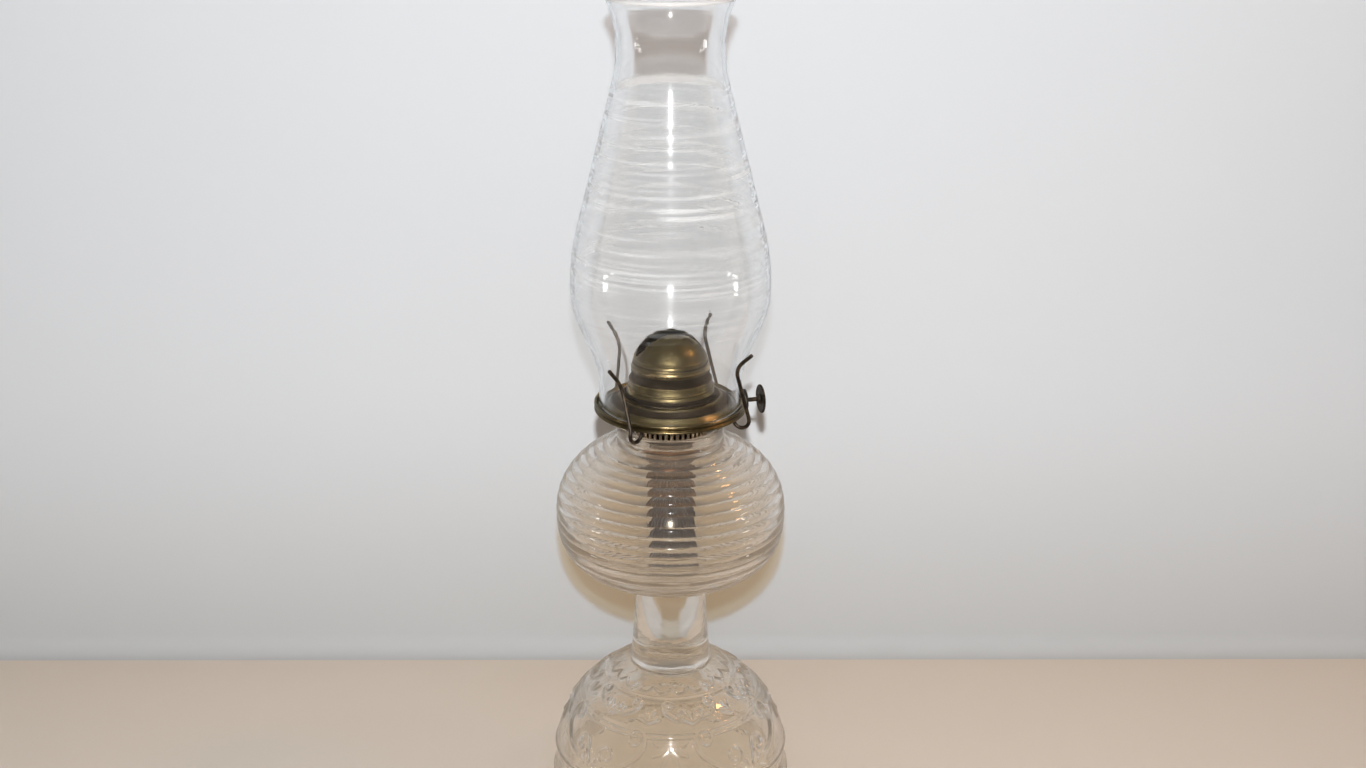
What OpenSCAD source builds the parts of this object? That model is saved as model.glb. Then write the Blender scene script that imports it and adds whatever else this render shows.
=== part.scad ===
// Kerosene table lamp: pressed glass foot, stem and ribbed font, flat-wick burner, glass chimney.
// Millimetres, +Z up, origin on the table under the middle of the foot, front towards -Y.

/* [Foot and stem] */
// Outermost radius of the foot, at its lower flange
foot_r = 67.2; // [60:0.2:74]
// Radius of the foot's dome where it is widest
dome_foot_r = 65.2; // [58:0.2:72]
// Height at which the foot's dome is widest
dome_foot_z = 19; // [15:0.5:24]
// Height of the curve of the foot's dome above its widest place
dome_foot_h = 58.4; // [50:0.2:66]
// Thickness of the foot's glass wall
foot_wall = 5; // [3.5:0.1:7]
// Radius of the ring where the stem leaves the foot
ring_r = 23; // [20:0.5:27]
// Height of the stem, from that ring to the font
stem_h = 53.6; // [40:0.2:70]
// Radius of the stem at its slimmest
stem_r = 19.5; // [16:0.1:22]
/* [Font] */
// Outermost radius of the font, over its ribs
font_r = 62.4; // [54:0.1:70]
// Height of the font below its widest place
font_down = 39.8; // [34:0.2:46]
// Height of the font above its widest place
font_up = 43.7; // [38:0.2:50]
// Thickness of the font's glass wall
font_wall = 3.2; // [2.4:0.1:4.5]
// Depth of the grooves between the font's ribs
rib_depth = 0.9; // [0.4:0.1:1.4]
// Spacing of the ribs along the font's outline
rib_pitch = 5.3; // [4:0.1:8]
// Outer radius of the glass neck
neck_r = 28.9; // [27:0.1:32]
// Depth of the cup in the neck
neck_cup = 7; // [5:0.1:9]
/* [Burner] */
// Outer radius of the burner's screw shell
thread_r = 15.2; // [15:0.1:16]
// Height from the collar to the upper edge of the deck's rim
burner_h = 18.9; // [18.5:0.1:24]
// Outer radius of the deck's rim
deck_r = 40.9; // [40.5:0.1:46]
// Height of the deck's rim
rim_h = 4.4; // [4:0.1:6]
// Radius of the slotted band of the air basket
basket_r = 19.3; // [18.8:0.1:21]
// Number of air slots round the basket
slot_count = 40; // [16:2:48]
// Radius of the flame dome at its cap
cap_r = 20.9; // [19.5:0.1:21.6]
// Height of the flame dome over the deck
dome_h = 34.5; // [30:0.5:40]
// Length of the flame slot
slot_len = 37.6; // [32:0.2:38.4]
// Width of the flame slot
slot_w = 9.4; // [7:0.2:12]
// Thickness of the burner's sheet brass
sheet_t = 0.6; // [0.4:0.05:0.8]
// Turn of the wick and its shaft about the upright axis, in degrees
wick_turn = 14.5; // [0:0.5:30]
/* [Wick and wick wheels] */
// Width of the wick
wick_w = 25.4; // [19:0.1:26]
// Thickness of the wick
wick_t = 3; // [2:0.1:3.2]
// Height of the wick's lower end over the font's floor
wick_clear = 6; // [5.5:0.5:40]
// Sideways lean of the wick's hanging end
wick_lean = 2; // [0:0.1:2.2]
// Radius of the toothed wick wheels, at their tips
wheel_r = 4.4; // [3.5:0.1:4.6]
// Radius of the wick shaft
shaft_r = 1.2; // [0.9:0.1:1.4]
// Distance of the thumb wheel from the wick's middle
thumb_reach = 51.9; // [48:0.1:60]
// Radius of the thumb wheel
thumb_r = 7.9; // [6:0.1:9.5]
/* [Prongs] */
// Radius of the spring wire
wire_r = 0.8; // [0.5:0.05:0.9]
// Directions of the four prongs about the upright axis, in degrees
prong_turns = [-114.8, -21.8, 53.3, 144.8]; // [-180:0.1:180]
/* [Chimney] */
// Outer radius of the chimney's foot
fitter_r = 38.1; // [36.5:0.1:38.2]
// Outer radius of the chimney's bulge
bulge_r = 52.6; // [46:0.1:60]
// Height of the bulge over the chimney's lower edge
bulge_z = 62.5; // [52:0.5:74]
// Outer radius of the chimney's waist
waist_r = 28.2; // [24:0.1:34]
// Height of the waist over the chimney's lower edge
waist_z = 190.3; // [150:0.5:220]
// Height of the whole chimney
chimney_h = 216.5; // [180:0.5:260]
// Outer radius of the chimney's lip
lip_r = 33.5; // [31:0.1:40]
// Thickness of the chimney's glass
chimney_wall = 2.4; // [1.8:0.1:3]

/* [Hidden] */
$fn = 96;

// Clearances: pieces fixed to each other, a shaft in its hole, and pieces that lift or slide
fit = 0.05;
running = 0.06;
seat_gap = 0.3;

// Powers of the curves: 2 is an ellipse, more is squarer, less is more pointed
foot_power = 1.8;
font_power_up = 2.17;
font_power_down = 2.57;

// Foot: flange, groove over it, and the two beads that divide its dome
flange_z = 7;
groove_z = 12;
groove_r = dome_foot_r - 0.9;
flange_edge_r = 1.7;
foot_chamfer = 0.6;
foot_bead_r = 0.9;
foot_bead_rings = [0.555, 0.772];
ring_z = dome_foot_z + bow_height(ring_r / dome_foot_r, foot_power) * dome_foot_h;
ring_h = 2.6;
hollow_r = dome_foot_r - foot_wall;
hollow_h = dome_foot_h - foot_wall * 1.28;
hollow_top_r = 4;

// Stem: it swells to a small foot on the font
stem_top_z = ring_z + stem_h;
stem_root_r = ring_r - 0.6;
joint_r = stem_r + 1.5;
joint_fillet = 6;

// Font: heights from the joint upwards
body_r = font_r - rib_depth;
font_mid_z = stem_top_z + bow_height(joint_r / body_r, font_power_down) * font_down;
font_floor_t = 5;
font_floor_z = font_mid_z - font_down + font_floor_t;
neck_foot_z = font_mid_z + bow_height(neck_r / body_r, font_power_up) * font_up;
web_top_z = neck_foot_z + 3.5;
neck_top_z = web_top_z + neck_cup;
neck_wall = 3;
neck_edge_r = 1.2;
rib_margin = 3;
rib_steps = 5;
floor_flat_r = 4;

// Collar and the plaster that holds it
collar_t = 0.8;
collar_depth = 11;
collar_in_r = thread_r + seat_gap;
collar_r = collar_in_r + collar_t;
collar_flange_r = collar_r + 3;
collar_top_z = web_top_z + collar_t;
collar_low_z = web_top_z - collar_depth;
plaster_t = 1.2;
plaster_h = 3;
collar_bead_r = 0.6;
throat_r = collar_r + plaster_t + 2 * fit;

// Burner: heights over the collar
burner_z = collar_top_z + seat_gap;
deck_z = burner_z + burner_h;
seat_z = deck_z - 1.8;
crown_z = seat_z + 5.6;
crown_r = 27;
deck_hole_r = 23.6;
seat_in_r = fitter_r - chimney_wall - 0.7;
shell_low_z = collar_low_z + 0.3;
shell_flange_r = thread_r + 2.4;
shell_lip = 1.6;
basket_z = burner_z + sheet_t + fit;
basket_neck_z = seat_z - 2.2;
basket_top_z = crown_z - sheet_t - fit;
slot_edge = 1.6;
slot_start = 10;
basket_flare = 0.4;
basket_bend = [0.6, 1.2];
diffuser_z = basket_top_z + fit;
tube_top_z = deck_z + 31.5;
cut_past = 4;

// Deck: bead round its crown, slope to the seat, and the rim with its two beads
crown_bead_w = 1;
crown_bead_h = 0.6;
crown_slope_h = 2.4;
seat_step = [0.9, 0.6];
rim_in_r = deck_r - 1;
rim_t = 0.8;
rim_bead_r = 0.8;
rim_foot_r = 0.65;

// Air diffuser: its raised middle, its brim, and rings of holes as [radius, number]
diffuser_rise = 4.2;
diffuser_flat_r = 12;
diffuser_r = deck_hole_r - 0.3;
diffuser_brim = 3;
diffuser_hole_r = 0.9;
diffuser_rings = [[19, 24], [16.2, 20], [13.4, 10]];

// Wick tube: the wick's own section and a clearance, in thin brass
tube_wall = 0.45;
tube_corner = 0.3;
tube_in_w = wick_w + 2 * seat_gap;
tube_in_t = wick_t + 2 * seat_gap;
tube_w = tube_in_w + 2 * tube_wall;
tube_t = tube_in_t + 2 * tube_wall;
tube_low_z = shell_low_z + 0.3;
vent_r = 2;
vent_y = -(tube_t / 2 + vent_r + 1);
vent_top_z = diffuser_z + 9;

// Wick wheels and their shaft, behind the wick
wheel_t = 1.2;
wheel_spacing = 7.6;
wheel_teeth = 10;
wheel_root = 0.68;
shaft_y = wick_t / 2 + seat_gap + wheel_r;
shaft_z = deck_z - 6.7;
box_wall = 0.6;
box_in_x = wheel_spacing + 2.4;
box_far_y = shaft_y + wheel_r + 0.8;
box_in_h = 2 * wheel_r + 1;
sleeve_r = shaft_r + running + 0.75;
sleeve_from = 17.6;
sleeve_to = deck_r + 1.9;
sleeve_flange_r = 6.2;
sleeve_flange_t = 1;
thumb_t = 1.3;
thumb_hub_r = 2.6;
thumb_teeth = 36;
thumb_notch_r = 0.4;
thumb_hub_t = 1.4;
shaft_proud = 0.8;

// Wick: from the font's floor to just over its tube
wick_low_z = font_floor_z + wick_clear;
wick_top_z = tube_top_z + 1.5;
hang_z = tube_low_z - 2;

// Prongs: a leg in a socket, a bend under the rim, a finger that leans to the glass, and its hooked end
leg_r = deck_r - 4.9;
leg_top_z = seat_z - sheet_t - fit;
leg_h = 3.65;
bend_r = 4.3;
side_bend_r = 6;
hook_r = 11.3;
hook_turn = 53.8;
tip_h = 7.9;
socket_r = wire_r + 0.8;
socket_h = 2.6;
wire_knuckle = 0.02;
// For each prong the twist of its bend, its finger's lean to the side and inwards, and the finger's length
finger_shapes = [[16.2, 24.5, 16.5, 17.5], [-1.2, 17.1, 8.2, 25.6],
    [15.2, -13.9, 7.8, 24.7], [31.2, 8.5, 9.5, 21.3]];

// Chimney: height of its straight foot, and the powers of the swell over it and of the flare at its lip
chimney_z = seat_z + seat_gap;
fitter_h = 14.5;
swell_power = 1.5;
flare_power = 2.3;

// Flame dome: its skirt, its cove and its cap; curves as [distance out, height], beads as [out, height, radius]
skirt_r = cap_r + 4.4;
skirt_z = crown_z + fit;
skirt_bead_r = 0.6;
skirt_curve = [[0, skirt_bead_r], [-1.1, 1.6], [-2, 3.6]];
shoulder_curve = [[2, 5.6], [1.6, 8]];
cove_from = 10;
cove_h = 4.6;
cove_out = 1;
cove_dent = 0.9;
cove_taper = 0.5;
cap_from = 14.1;
cap_cut = 2.2;
cap_z = skirt_z + cap_from;
dome_beads = [[1.7, 5.8, 0.7], [-0.1, 16.6, 0.6], [-1.8, 22, 0.5]];
tab_turns = [-77, 43, 163];
tab_w = 6;
tab_t = 0.8;
tab_r = skirt_r - 0.4;
tab_down = 1.6;
tab_hole_w = 7.4;
tab_hole_t = 1.2;

// Height of a bowed curve where its radius has shrunk to the share s, as a share of its height
function bow_height(s, power) = pow(1 - pow(s, power), 1 / power);
// Bowed curve from its widest place up to where its radius is r_end
function bow(r, h, power, r_end, steps) =
    let (last = acos(pow(r_end / r, power / 2)))
    [for (i = [0:steps])
        let (u = last * i / steps)
        [r * pow(cos(u), 2 / power), h * pow(sin(u), 2 / power)]];

// Small helpers on lists of points
function moved(path, dz) = [for (p = path) [p[0], p[1] + dz]];
function flipped(path) = [for (p = path) [p[0], -p[1]]];
function reversed(path) = [for (i = [len(path) - 1:-1:0]) path[i]];
function unit(v) = v / norm(v);
function left_of(a, b) = let (d = unit(b - a)) [-d[1], d[0]];
function arc(centre, r, from, to, steps) =
    [for (i = [0:steps]) let (a = from + (to - from) * i / steps) centre + r * [cos(a), sin(a)]];

// A path shifted to its left by t, mitred at its corners, and the sheet between the two
function beside(path, t) =
    let (last = len(path) - 1)
    [for (i = [0:last])
        let (
            before = left_of(path[max(i - 1, 0)], path[max(i, 1)]),
            after = left_of(path[min(i, last - 1)], path[min(i + 1, last)]),
            middle = unit(before + after))
        path[i] + middle * t / (middle * before)];
function sheet(path, t) = concat(path, reversed(beside(path, t)));

// Lengths along a path, and the point at a length s
function lengths(path) =
    [for (i = 0, s = 0; i < len(path);
        s = s + (i < len(path) - 1 ? norm(path[i + 1] - path[i]) : 0), i = i + 1) s];
function point_at(path, marks, s) =
    let (i = max([for (k = [0:len(path) - 2]) if (marks[k] <= s) k]))
    path[i] + (path[i + 1] - path[i]) * (s - marks[i]) / (marks[i + 1] - marks[i]);

// A path with round ribs on its right, between lengths from and to
function ribbed(path, from, to, pitch, depth) =
    let (
        marks = lengths(path),
        count = round((to - from) / pitch),
        step = (to - from) / (count * rib_steps))
    [for (j = [0:count * rib_steps])
        let (
            s = from + j * step,
            n = left_of(point_at(path, marks, s - 0.3), point_at(path, marks, s + 0.3)))
        point_at(path, marks, s) - n * depth * abs(sin(180 * j / rib_steps))];

// Flat outline w wide and t thick with corners of radius r
module soft_box(w, t, r) {
    square([w - 2 * r, t], center = true);
    square([w, t - 2 * r], center = true);
    for (x = [-1, 1], y = [-1, 1])
        translate([x * (w / 2 - r), y * (t / 2 - r)]) circle(r = r, $fn = 24);
}

// Flat outline with round ends, w wide over all and t thick
module long_round(w, t) {
    square([w - t, t], center = true);
    for (side = [-1, 1])
        translate([side * (w - t) / 2, 0]) circle(d = t);
}

// Turns its children from the wick's own directions to the lamp's
module wickwise() {
    rotate([0, 0, wick_turn]) children();
}

// Lays a round bar along the wick's direction at the shaft's place, from a to b
module along_shaft(r, a, b) {
    translate([a, shaft_y, shaft_z]) rotate([0, 90, 0]) cylinder(r = r, h = b - a);
}

module pedestal() {
    dome = bow(dome_foot_r, dome_foot_h, foot_power, ring_r + ring_h / 2, 20);
    hollow = bow(hollow_r, hollow_h, foot_power, hollow_top_r, 16);
    stem_from_z = ring_z + ring_h;
    stem_to_z = stem_top_z - joint_fillet;
    stem = [for (i = [0:10])
        let (s = i / 10)
        [stem_r + (stem_root_r - stem_r) * pow(1 - s, 2), stem_from_z + (stem_to_z - stem_from_z) * s]];
    fillet = [for (i = [1:4])
        let (a = 90 * i / 4)
        [stem_r + (joint_r - stem_r) * (1 - cos(a)), stem_to_z + joint_fillet * sin(a)]];
    color("gainsboro")
    rotate_extrude() {
        polygon(concat(
            [[hollow_r + foot_chamfer, 0]],
            arc([foot_r - flange_edge_r, flange_edge_r], flange_edge_r, -90, 0, 4),
            arc([foot_r - flange_edge_r, flange_z - flange_edge_r], flange_edge_r, 0, 60, 3),
            [[groove_r, groove_z]],
            moved(dome, dome_foot_z),
            arc([ring_r - ring_h / 2, ring_z + ring_h / 2], ring_h / 2, -60, 90, 6),
            stem, fillet, [[0, stem_top_z], [0, dome_foot_z + hollow_h]],
            reversed(moved(hollow, dome_foot_z)),
            [[hollow_r, foot_chamfer]]));
        for (s = foot_bead_rings)
            translate([dome_foot_r * s, dome_foot_z + dome_foot_h * bow_height(s, foot_power)])
                circle(r = foot_bead_r, $fn = 24);
    }
}

module font() {
    outside = concat(
        reversed(flipped(bow(body_r, font_down, font_power_down, joint_r, 40))),
        bow(body_r, font_up, font_power_up, neck_r, 40));
    total = max(lengths(outside));
    ribs = ribbed(outside, rib_margin, total - rib_margin, rib_pitch, rib_depth);
    inside_up = bow(body_r - font_wall, font_up - font_wall, font_power_up, throat_r, 16);
    inside_down = bow(body_r - font_wall, font_mid_z - font_floor_z, font_power_down, floor_flat_r, 14);
    neck_in_r = neck_r - neck_wall;
    color("gainsboro")
    rotate_extrude()
    polygon(concat(
        [[0, stem_top_z], [joint_r, stem_top_z]],
        moved(ribs, font_mid_z),
        [[neck_r, neck_foot_z]],
        arc([neck_r - neck_edge_r, neck_top_z - neck_edge_r], neck_edge_r, 0, 90, 4),
        arc([neck_in_r + neck_edge_r, neck_top_z - neck_edge_r], neck_edge_r, 90, 180, 4),
        [[neck_in_r, web_top_z], [throat_r, web_top_z]],
        reversed(moved(inside_up, font_mid_z)),
        moved(flipped(inside_down), font_mid_z),
        [[0, font_floor_z]]));
}

module plaster_ring() {
    color("whitesmoke")
    rotate_extrude()
    translate([collar_r + fit, web_top_z - plaster_h]) square([plaster_t, plaster_h - fit]);
}

module collar() {
    color("peru")
    rotate_extrude() {
        translate([collar_in_r, collar_low_z]) square([collar_t, collar_top_z - collar_low_z]);
        translate([collar_in_r, web_top_z + fit]) square([collar_flange_r - collar_in_r, collar_t - fit]);
        translate([collar_r, collar_low_z + collar_bead_r]) circle(r = collar_bead_r, $fn = 24);
    }
}

module screw_shell() {
    color("peru")
    rotate_extrude()
    polygon(sheet(
        [[shell_flange_r, burner_z], [thread_r, burner_z], [thread_r, shell_low_z],
            [thread_r - shell_lip, shell_low_z]], -sheet_t));
}

module tube_plate() {
    color("peru")
    difference() {
        translate([0, 0, shell_low_z + sheet_t + fit])
            cylinder(r = thread_r - sheet_t - fit, h = sheet_t);
        wickwise() {
            translate([0, 0, shell_low_z]) linear_extrude(4) tube_hole();
            translate([0, vent_y, shell_low_z]) cylinder(r = vent_r + fit, h = 4, $fn = 48);
        }
    }
}

module basket() {
    slot_from_z = basket_z + slot_edge;
    slot_h = basket_neck_z - 1 - slot_from_z;
    slot_turn = 360 / slot_count;
    color("darkgoldenrod")
    difference() {
        rotate_extrude()
        polygon(sheet(
            [[thread_r + fit, basket_z], [basket_r, basket_z], [basket_r + basket_flare, basket_neck_z],
                [deck_hole_r - basket_bend[0], basket_top_z - basket_bend[1]],
                [deck_hole_r, basket_top_z - sheet_t],
                [skirt_r - skirt_bead_r, basket_top_z - sheet_t]], sheet_t));
        for (i = [1:slot_count - 1])
            rotate([0, 0, wick_turn + slot_start + i * slot_turn])
                translate([basket_r, 0, slot_from_z + slot_h / 2])
                    cube([cut_past, PI * basket_r / slot_count, slot_h], center = true);
        wickwise() along_shaft(sleeve_r + fit, basket_r / 2, basket_r * 1.5);
    }
}

// Hole that the wick tube passes
module tube_hole() {
    soft_box(tube_w + 2 * fit, tube_t + 2 * fit, tube_corner + tube_wall + fit);
}

module wick_tube() {
    color("peru")
    wickwise()
    difference() {
        translate([0, 0, tube_low_z]) linear_extrude(tube_top_z - tube_low_z)
        difference() {
            soft_box(tube_w, tube_t, tube_corner + tube_wall);
            soft_box(tube_in_w, tube_in_t, tube_corner);
        }
        for (i = [-1:1])
            translate([i * wheel_spacing, tube_t / 2, shaft_z])
                cube([wheel_t + 1, tube_t, 2 * wheel_r - 0.4], center = true);
    }
}

module vent_tube() {
    color("peru")
    wickwise()
    translate([0, vent_y, tube_low_z])
    difference() {
        cylinder(r = vent_r, h = vent_top_z - tube_low_z, $fn = 48);
        translate([0, 0, -1]) cylinder(r = vent_r - tube_wall, h = vent_top_z - tube_low_z + 2, $fn = 48);
    }
}

module wheel_box() {
    near_y = tube_t / 2 + fit;
    depth = box_far_y - near_y;
    outer = [2 * (box_in_x + box_wall), depth, box_in_h + 2 * box_wall];
    inner = [2 * box_in_x, depth, box_in_h];
    color("peru")
    wickwise()
    difference() {
        translate([0, near_y + depth / 2, shaft_z]) cube(outer, center = true);
        translate([0, near_y + depth / 2 - box_wall, shaft_z]) cube(inner, center = true);
        along_shaft(shaft_r + running, -20, 20);
    }
}

module deck() {
    bead_z = crown_z + crown_bead_h;
    plate = [[deck_hole_r, crown_z], [crown_r - crown_bead_w, crown_z],
        [crown_r - crown_bead_w / 2, bead_z], [crown_r + crown_bead_w / 2, bead_z],
        [crown_r + crown_bead_w, crown_z - 0.1], [(crown_r + seat_in_r) / 2, crown_z - crown_slope_h],
        [seat_in_r - seat_step[0], seat_z + seat_step[1]], [seat_in_r, seat_z], [rim_in_r, seat_z]];
    color("saddlebrown")
    difference() {
        union() {
            rotate_extrude() {
                polygon(sheet(plate, -sheet_t));
                translate([rim_in_r, deck_z - rim_h]) square([rim_t, rim_h - rim_bead_r / 2]);
                translate([deck_r - rim_bead_r, deck_z - rim_bead_r]) circle(r = rim_bead_r, $fn = 24);
                translate([deck_r - rim_foot_r, deck_z - rim_h + rim_foot_r]) circle(r = rim_foot_r, $fn = 24);
            }
            for (turn = prong_turns)
                rotate([0, 0, turn]) translate([leg_r, 0, leg_top_z - socket_h])
                    cylinder(r = socket_r, h = socket_h + sheet_t / 3, $fn = 32);
        }
        for (turn = prong_turns)
            rotate([0, 0, turn]) translate([leg_r, 0, leg_top_z - socket_h - 1])
                cylinder(r = wire_r + fit, h = socket_h + 1 + fit, $fn = 32);
        wickwise() along_shaft(sleeve_r + fit, deck_r - cut_past, deck_r + cut_past);
        for (turn = tab_turns)
            rotate([0, 0, turn]) translate([tab_r, -tab_hole_w / 2, crown_z - cut_past / 2])
                cube([tab_hole_t, tab_hole_w, cut_past]);
    }
}

module air_diffuser() {
    plate_z = diffuser_z + sheet_t;
    cut_h = diffuser_rise + cut_past;
    color("darkgoldenrod")
    difference() {
        rotate_extrude()
        polygon(sheet([[0, plate_z + diffuser_rise], [diffuser_flat_r, plate_z + diffuser_rise],
            [diffuser_r - diffuser_brim, plate_z], [diffuser_r, plate_z]], -sheet_t));
        for (ring = diffuser_rings)
            for (i = [0:ring[1] - 1])
                rotate([0, 0, wick_turn + 360 * (i + 0.5) / ring[1]])
                    translate([ring[0], 0, diffuser_z - 1]) cylinder(r = diffuser_hole_r, h = cut_h, $fn = 24);
        wickwise() {
            translate([0, 0, diffuser_z - 1]) linear_extrude(cut_h) tube_hole();
            translate([0, vent_y, diffuser_z - 1]) cylinder(r = vent_r + fit, h = cut_h, $fn = 48);
        }
    }
}

module flame_dome() {
    high = dome_h - cap_from;
    cap = bow(cap_r, high, 2, 0, 12);
    cove = [for (i = [0:4])
        let (s = i / 4)
        [cap_r + cove_out - cove_dent * sin(180 * s) - cove_taper * s, skirt_z + cove_from + cove_h * s]];
    outer = concat(
        [for (p = skirt_curve) [skirt_r + p[0], skirt_z + p[1]]],
        [for (p = shoulder_curve) [cap_r + p[0], skirt_z + p[1]]],
        cove,
        [for (p = cap) if (p[1] > cap_cut) [p[0], p[1] + cap_z]]);
    color("darkgoldenrod")
    difference() {
        union() {
            rotate_extrude() {
                polygon([for (p = sheet(outer, sheet_t)) [max(p[0], 0), p[1]]]);
                translate([skirt_r - skirt_bead_r, skirt_z + skirt_bead_r]) circle(r = skirt_bead_r, $fn = 24);
                for (bead = dome_beads)
                    translate([cap_r + bead[0], skirt_z + bead[1]]) circle(r = bead[2], $fn = 24);
            }
            for (turn = tab_turns)
                rotate([0, 0, turn]) translate([tab_r + fit, -tab_w / 2, crown_z - tab_down])
                    cube([tab_t, tab_w, tab_down + 1]);
        }
        wickwise() translate([0, 0, cap_z + 3]) linear_extrude(high) long_round(slot_len, slot_w);
    }
}

module shaft_sleeve() {
    color("peru")
    wickwise()
    difference() {
        union() {
            along_shaft(sleeve_r, sleeve_from, sleeve_to);
            along_shaft(sleeve_flange_r, sleeve_to, sleeve_to + sleeve_flange_t);
        }
        along_shaft(shaft_r + running, 0, sleeve_to + 5);
    }
}

// Bends a wire of radius wire_r towards +X from upright, about a centre at distance r
module bent_wire(r, angle) {
    translate([r, 0, 0]) mirror([1, 0, 0]) rotate([90, 0, 0])
        rotate_extrude(angle = angle) translate([r, 0]) circle(r = wire_r, $fn = 32);
}

// Lays a wire step by step, with a ball at each joint and at the end:
// [length] runs straight, [radius, angle] bends towards +X, [0, 0, turn] turns the plane of the next bend
module wire(steps, i = 0) {
    if (i < len(steps) && len(steps[i]) == 3) {
        rotate([0, 0, steps[i][2]]) wire(steps, i + 1);
    } else {
        if (i > 0)
            sphere(r = wire_r + wire_knuckle, $fn = 32);
        if (i < len(steps) && len(steps[i]) == 1) {
            cylinder(r = wire_r, h = steps[i][0], $fn = 32);
            translate([0, 0, steps[i][0]]) wire(steps, i + 1);
        } else if (i < len(steps)) {
            r = steps[i][0];
            angle = steps[i][1];
            side = sign(angle);
            if (side > 0)
                bent_wire(r, angle);
            else
                mirror([1, 0, 0]) bent_wire(r, -angle);
            translate([side * r * (1 - cos(angle)), 0, r * sin(abs(angle))])
                rotate([0, angle, 0]) wire(steps, i + 1);
        }
    }
}

module prong(i) {
    shape = finger_shapes[i];
    color("dimgray")
    rotate([0, 0, prong_turns[i]])
    translate([leg_r, 0, leg_top_z])
    rotate([180, 0, 0])
    wire([[leg_h], [0, 0, shape[0]], [bend_r, 180 + shape[2]], [0, 0, shape[0] + 90], [side_bend_r, shape[1]],
        [0, 0, -90], [shape[3]], [hook_r, -hook_turn], [tip_h]]);
}

module wick_shaft() {
    color("dimgray")
    wickwise()
    along_shaft(shaft_r, -box_in_x - box_wall - shaft_proud, thumb_reach + thumb_t / 2 + shaft_proud);
}

module wick_wheel(i) {
    star = [for (k = [0:2 * wheel_teeth - 1])
        let (a = 180 * k / wheel_teeth - 90, r = k % 2 == 0 ? wheel_r : wheel_r * wheel_root)
        r * [cos(a), sin(a)]];
    color("dimgray")
    wickwise()
    translate([i * wheel_spacing - wheel_t / 2, shaft_y, shaft_z])
    rotate([0, 90, 0])
    difference() {
        linear_extrude(wheel_t) polygon(star);
        translate([0, 0, -1]) cylinder(r = shaft_r + fit / 2, h = wheel_t + 2, $fn = 48);
    }
}

module thumb_wheel() {
    color("dimgray")
    wickwise()
    translate([thumb_reach - thumb_t / 2, shaft_y, shaft_z])
    rotate([0, 90, 0])
    difference() {
        union() {
            linear_extrude(thumb_t)
            difference() {
                circle(r = thumb_r);
                for (k = [0:thumb_teeth - 1])
                    rotate([0, 0, 360 * k / thumb_teeth]) translate([thumb_r + 0.15, 0])
                        circle(r = thumb_notch_r, $fn = 16);
            }
            translate([0, 0, -thumb_hub_t]) cylinder(r = thumb_hub_r, h = thumb_hub_t + thumb_t / 2, $fn = 48);
        }
        translate([0, 0, -3]) cylinder(r = shaft_r + fit / 2, h = thumb_t + 6, $fn = 48);
    }
}

module wick() {
    half = wick_w / 2;
    hang = hang_z - wick_low_z;
    left = [for (i = [0:10])
        let (s = i / 10)
        [wick_lean * s * s - half, hang_z - hang * s]];
    right = [for (p = left) [p[0] + wick_w, p[1]]];
    color("bisque")
    wickwise()
    translate([0, wick_t / 2, 0])
    rotate([90, 0, 0])
    linear_extrude(wick_t)
    polygon(concat([[-half, wick_top_z]], left, reversed(right), [[half, wick_top_z]]));
}

module chimney() {
    swell = [for (i = [0:12])
        let (s = i / 12)
        [fitter_r + (bulge_r - fitter_r) * sin(90 * pow(s, swell_power)), fitter_h + (bulge_z - fitter_h) * s]];
    taper = [for (i = [1:18])
        let (s = i / 18)
        [waist_r + (bulge_r - waist_r) * (1 + cos(180 * s)) / 2, bulge_z + (waist_z - bulge_z) * s]];
    flare = [for (i = [1:7])
        let (s = i / 7)
        [waist_r + (lip_r - waist_r) * pow(s, flare_power), waist_z + (chimney_h - waist_z - 1) * s]];
    outer = concat([[fitter_r, 0.8], [fitter_r, fitter_h - 2.5]], swell, taper, flare);
    color("aliceblue")
    translate([0, 0, chimney_z])
    rotate_extrude() {
        polygon(sheet(outer, chimney_wall));
        translate([fitter_r - chimney_wall / 2, chimney_wall / 2]) circle(d = chimney_wall, $fn = 24);
        translate(outer[len(outer) - 1] + [-chimney_wall / 2, 0.2]) circle(d = chimney_wall, $fn = 24);
    }
}

pedestal();
font();
plaster_ring();
collar();
screw_shell();
tube_plate();
basket();
wick_tube();
vent_tube();
wheel_box();
deck();
air_diffuser();
flame_dome();
shaft_sleeve();
prong(0);  // prong_front_left
prong(1);  // prong_front_right
prong(2);  // prong_back_right
prong(3);  // prong_back_left
wick_shaft();
wick_wheel(-1);  // wick_wheel_left
wick_wheel(0);  // wick_wheel_middle
wick_wheel(1);  // wick_wheel_right
thumb_wheel();
wick();
chimney();
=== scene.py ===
import math

import bpy
import numpy as np
from bpy.props import FloatProperty, FloatVectorProperty, IntProperty, PointerProperty
from mathutils import Matrix, Vector, kdtree


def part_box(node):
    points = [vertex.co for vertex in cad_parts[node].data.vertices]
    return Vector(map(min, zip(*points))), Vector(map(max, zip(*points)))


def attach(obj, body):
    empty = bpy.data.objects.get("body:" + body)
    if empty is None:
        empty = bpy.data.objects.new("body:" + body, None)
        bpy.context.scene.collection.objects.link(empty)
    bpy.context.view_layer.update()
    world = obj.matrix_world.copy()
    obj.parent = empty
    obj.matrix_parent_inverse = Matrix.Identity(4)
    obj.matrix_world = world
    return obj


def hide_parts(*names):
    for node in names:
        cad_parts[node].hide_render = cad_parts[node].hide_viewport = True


bl_info = {
    "name": "Table oil lamp",
    "version": (1, 0, 0),
    "blender": (4, 5, 0),
    "location": "3D View > Sidebar > Lamp",
    "description": "Pressed glass table lamp with a flat-wick burner and a chimney, built round its packed model",
    "category": "Object",
}

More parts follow.
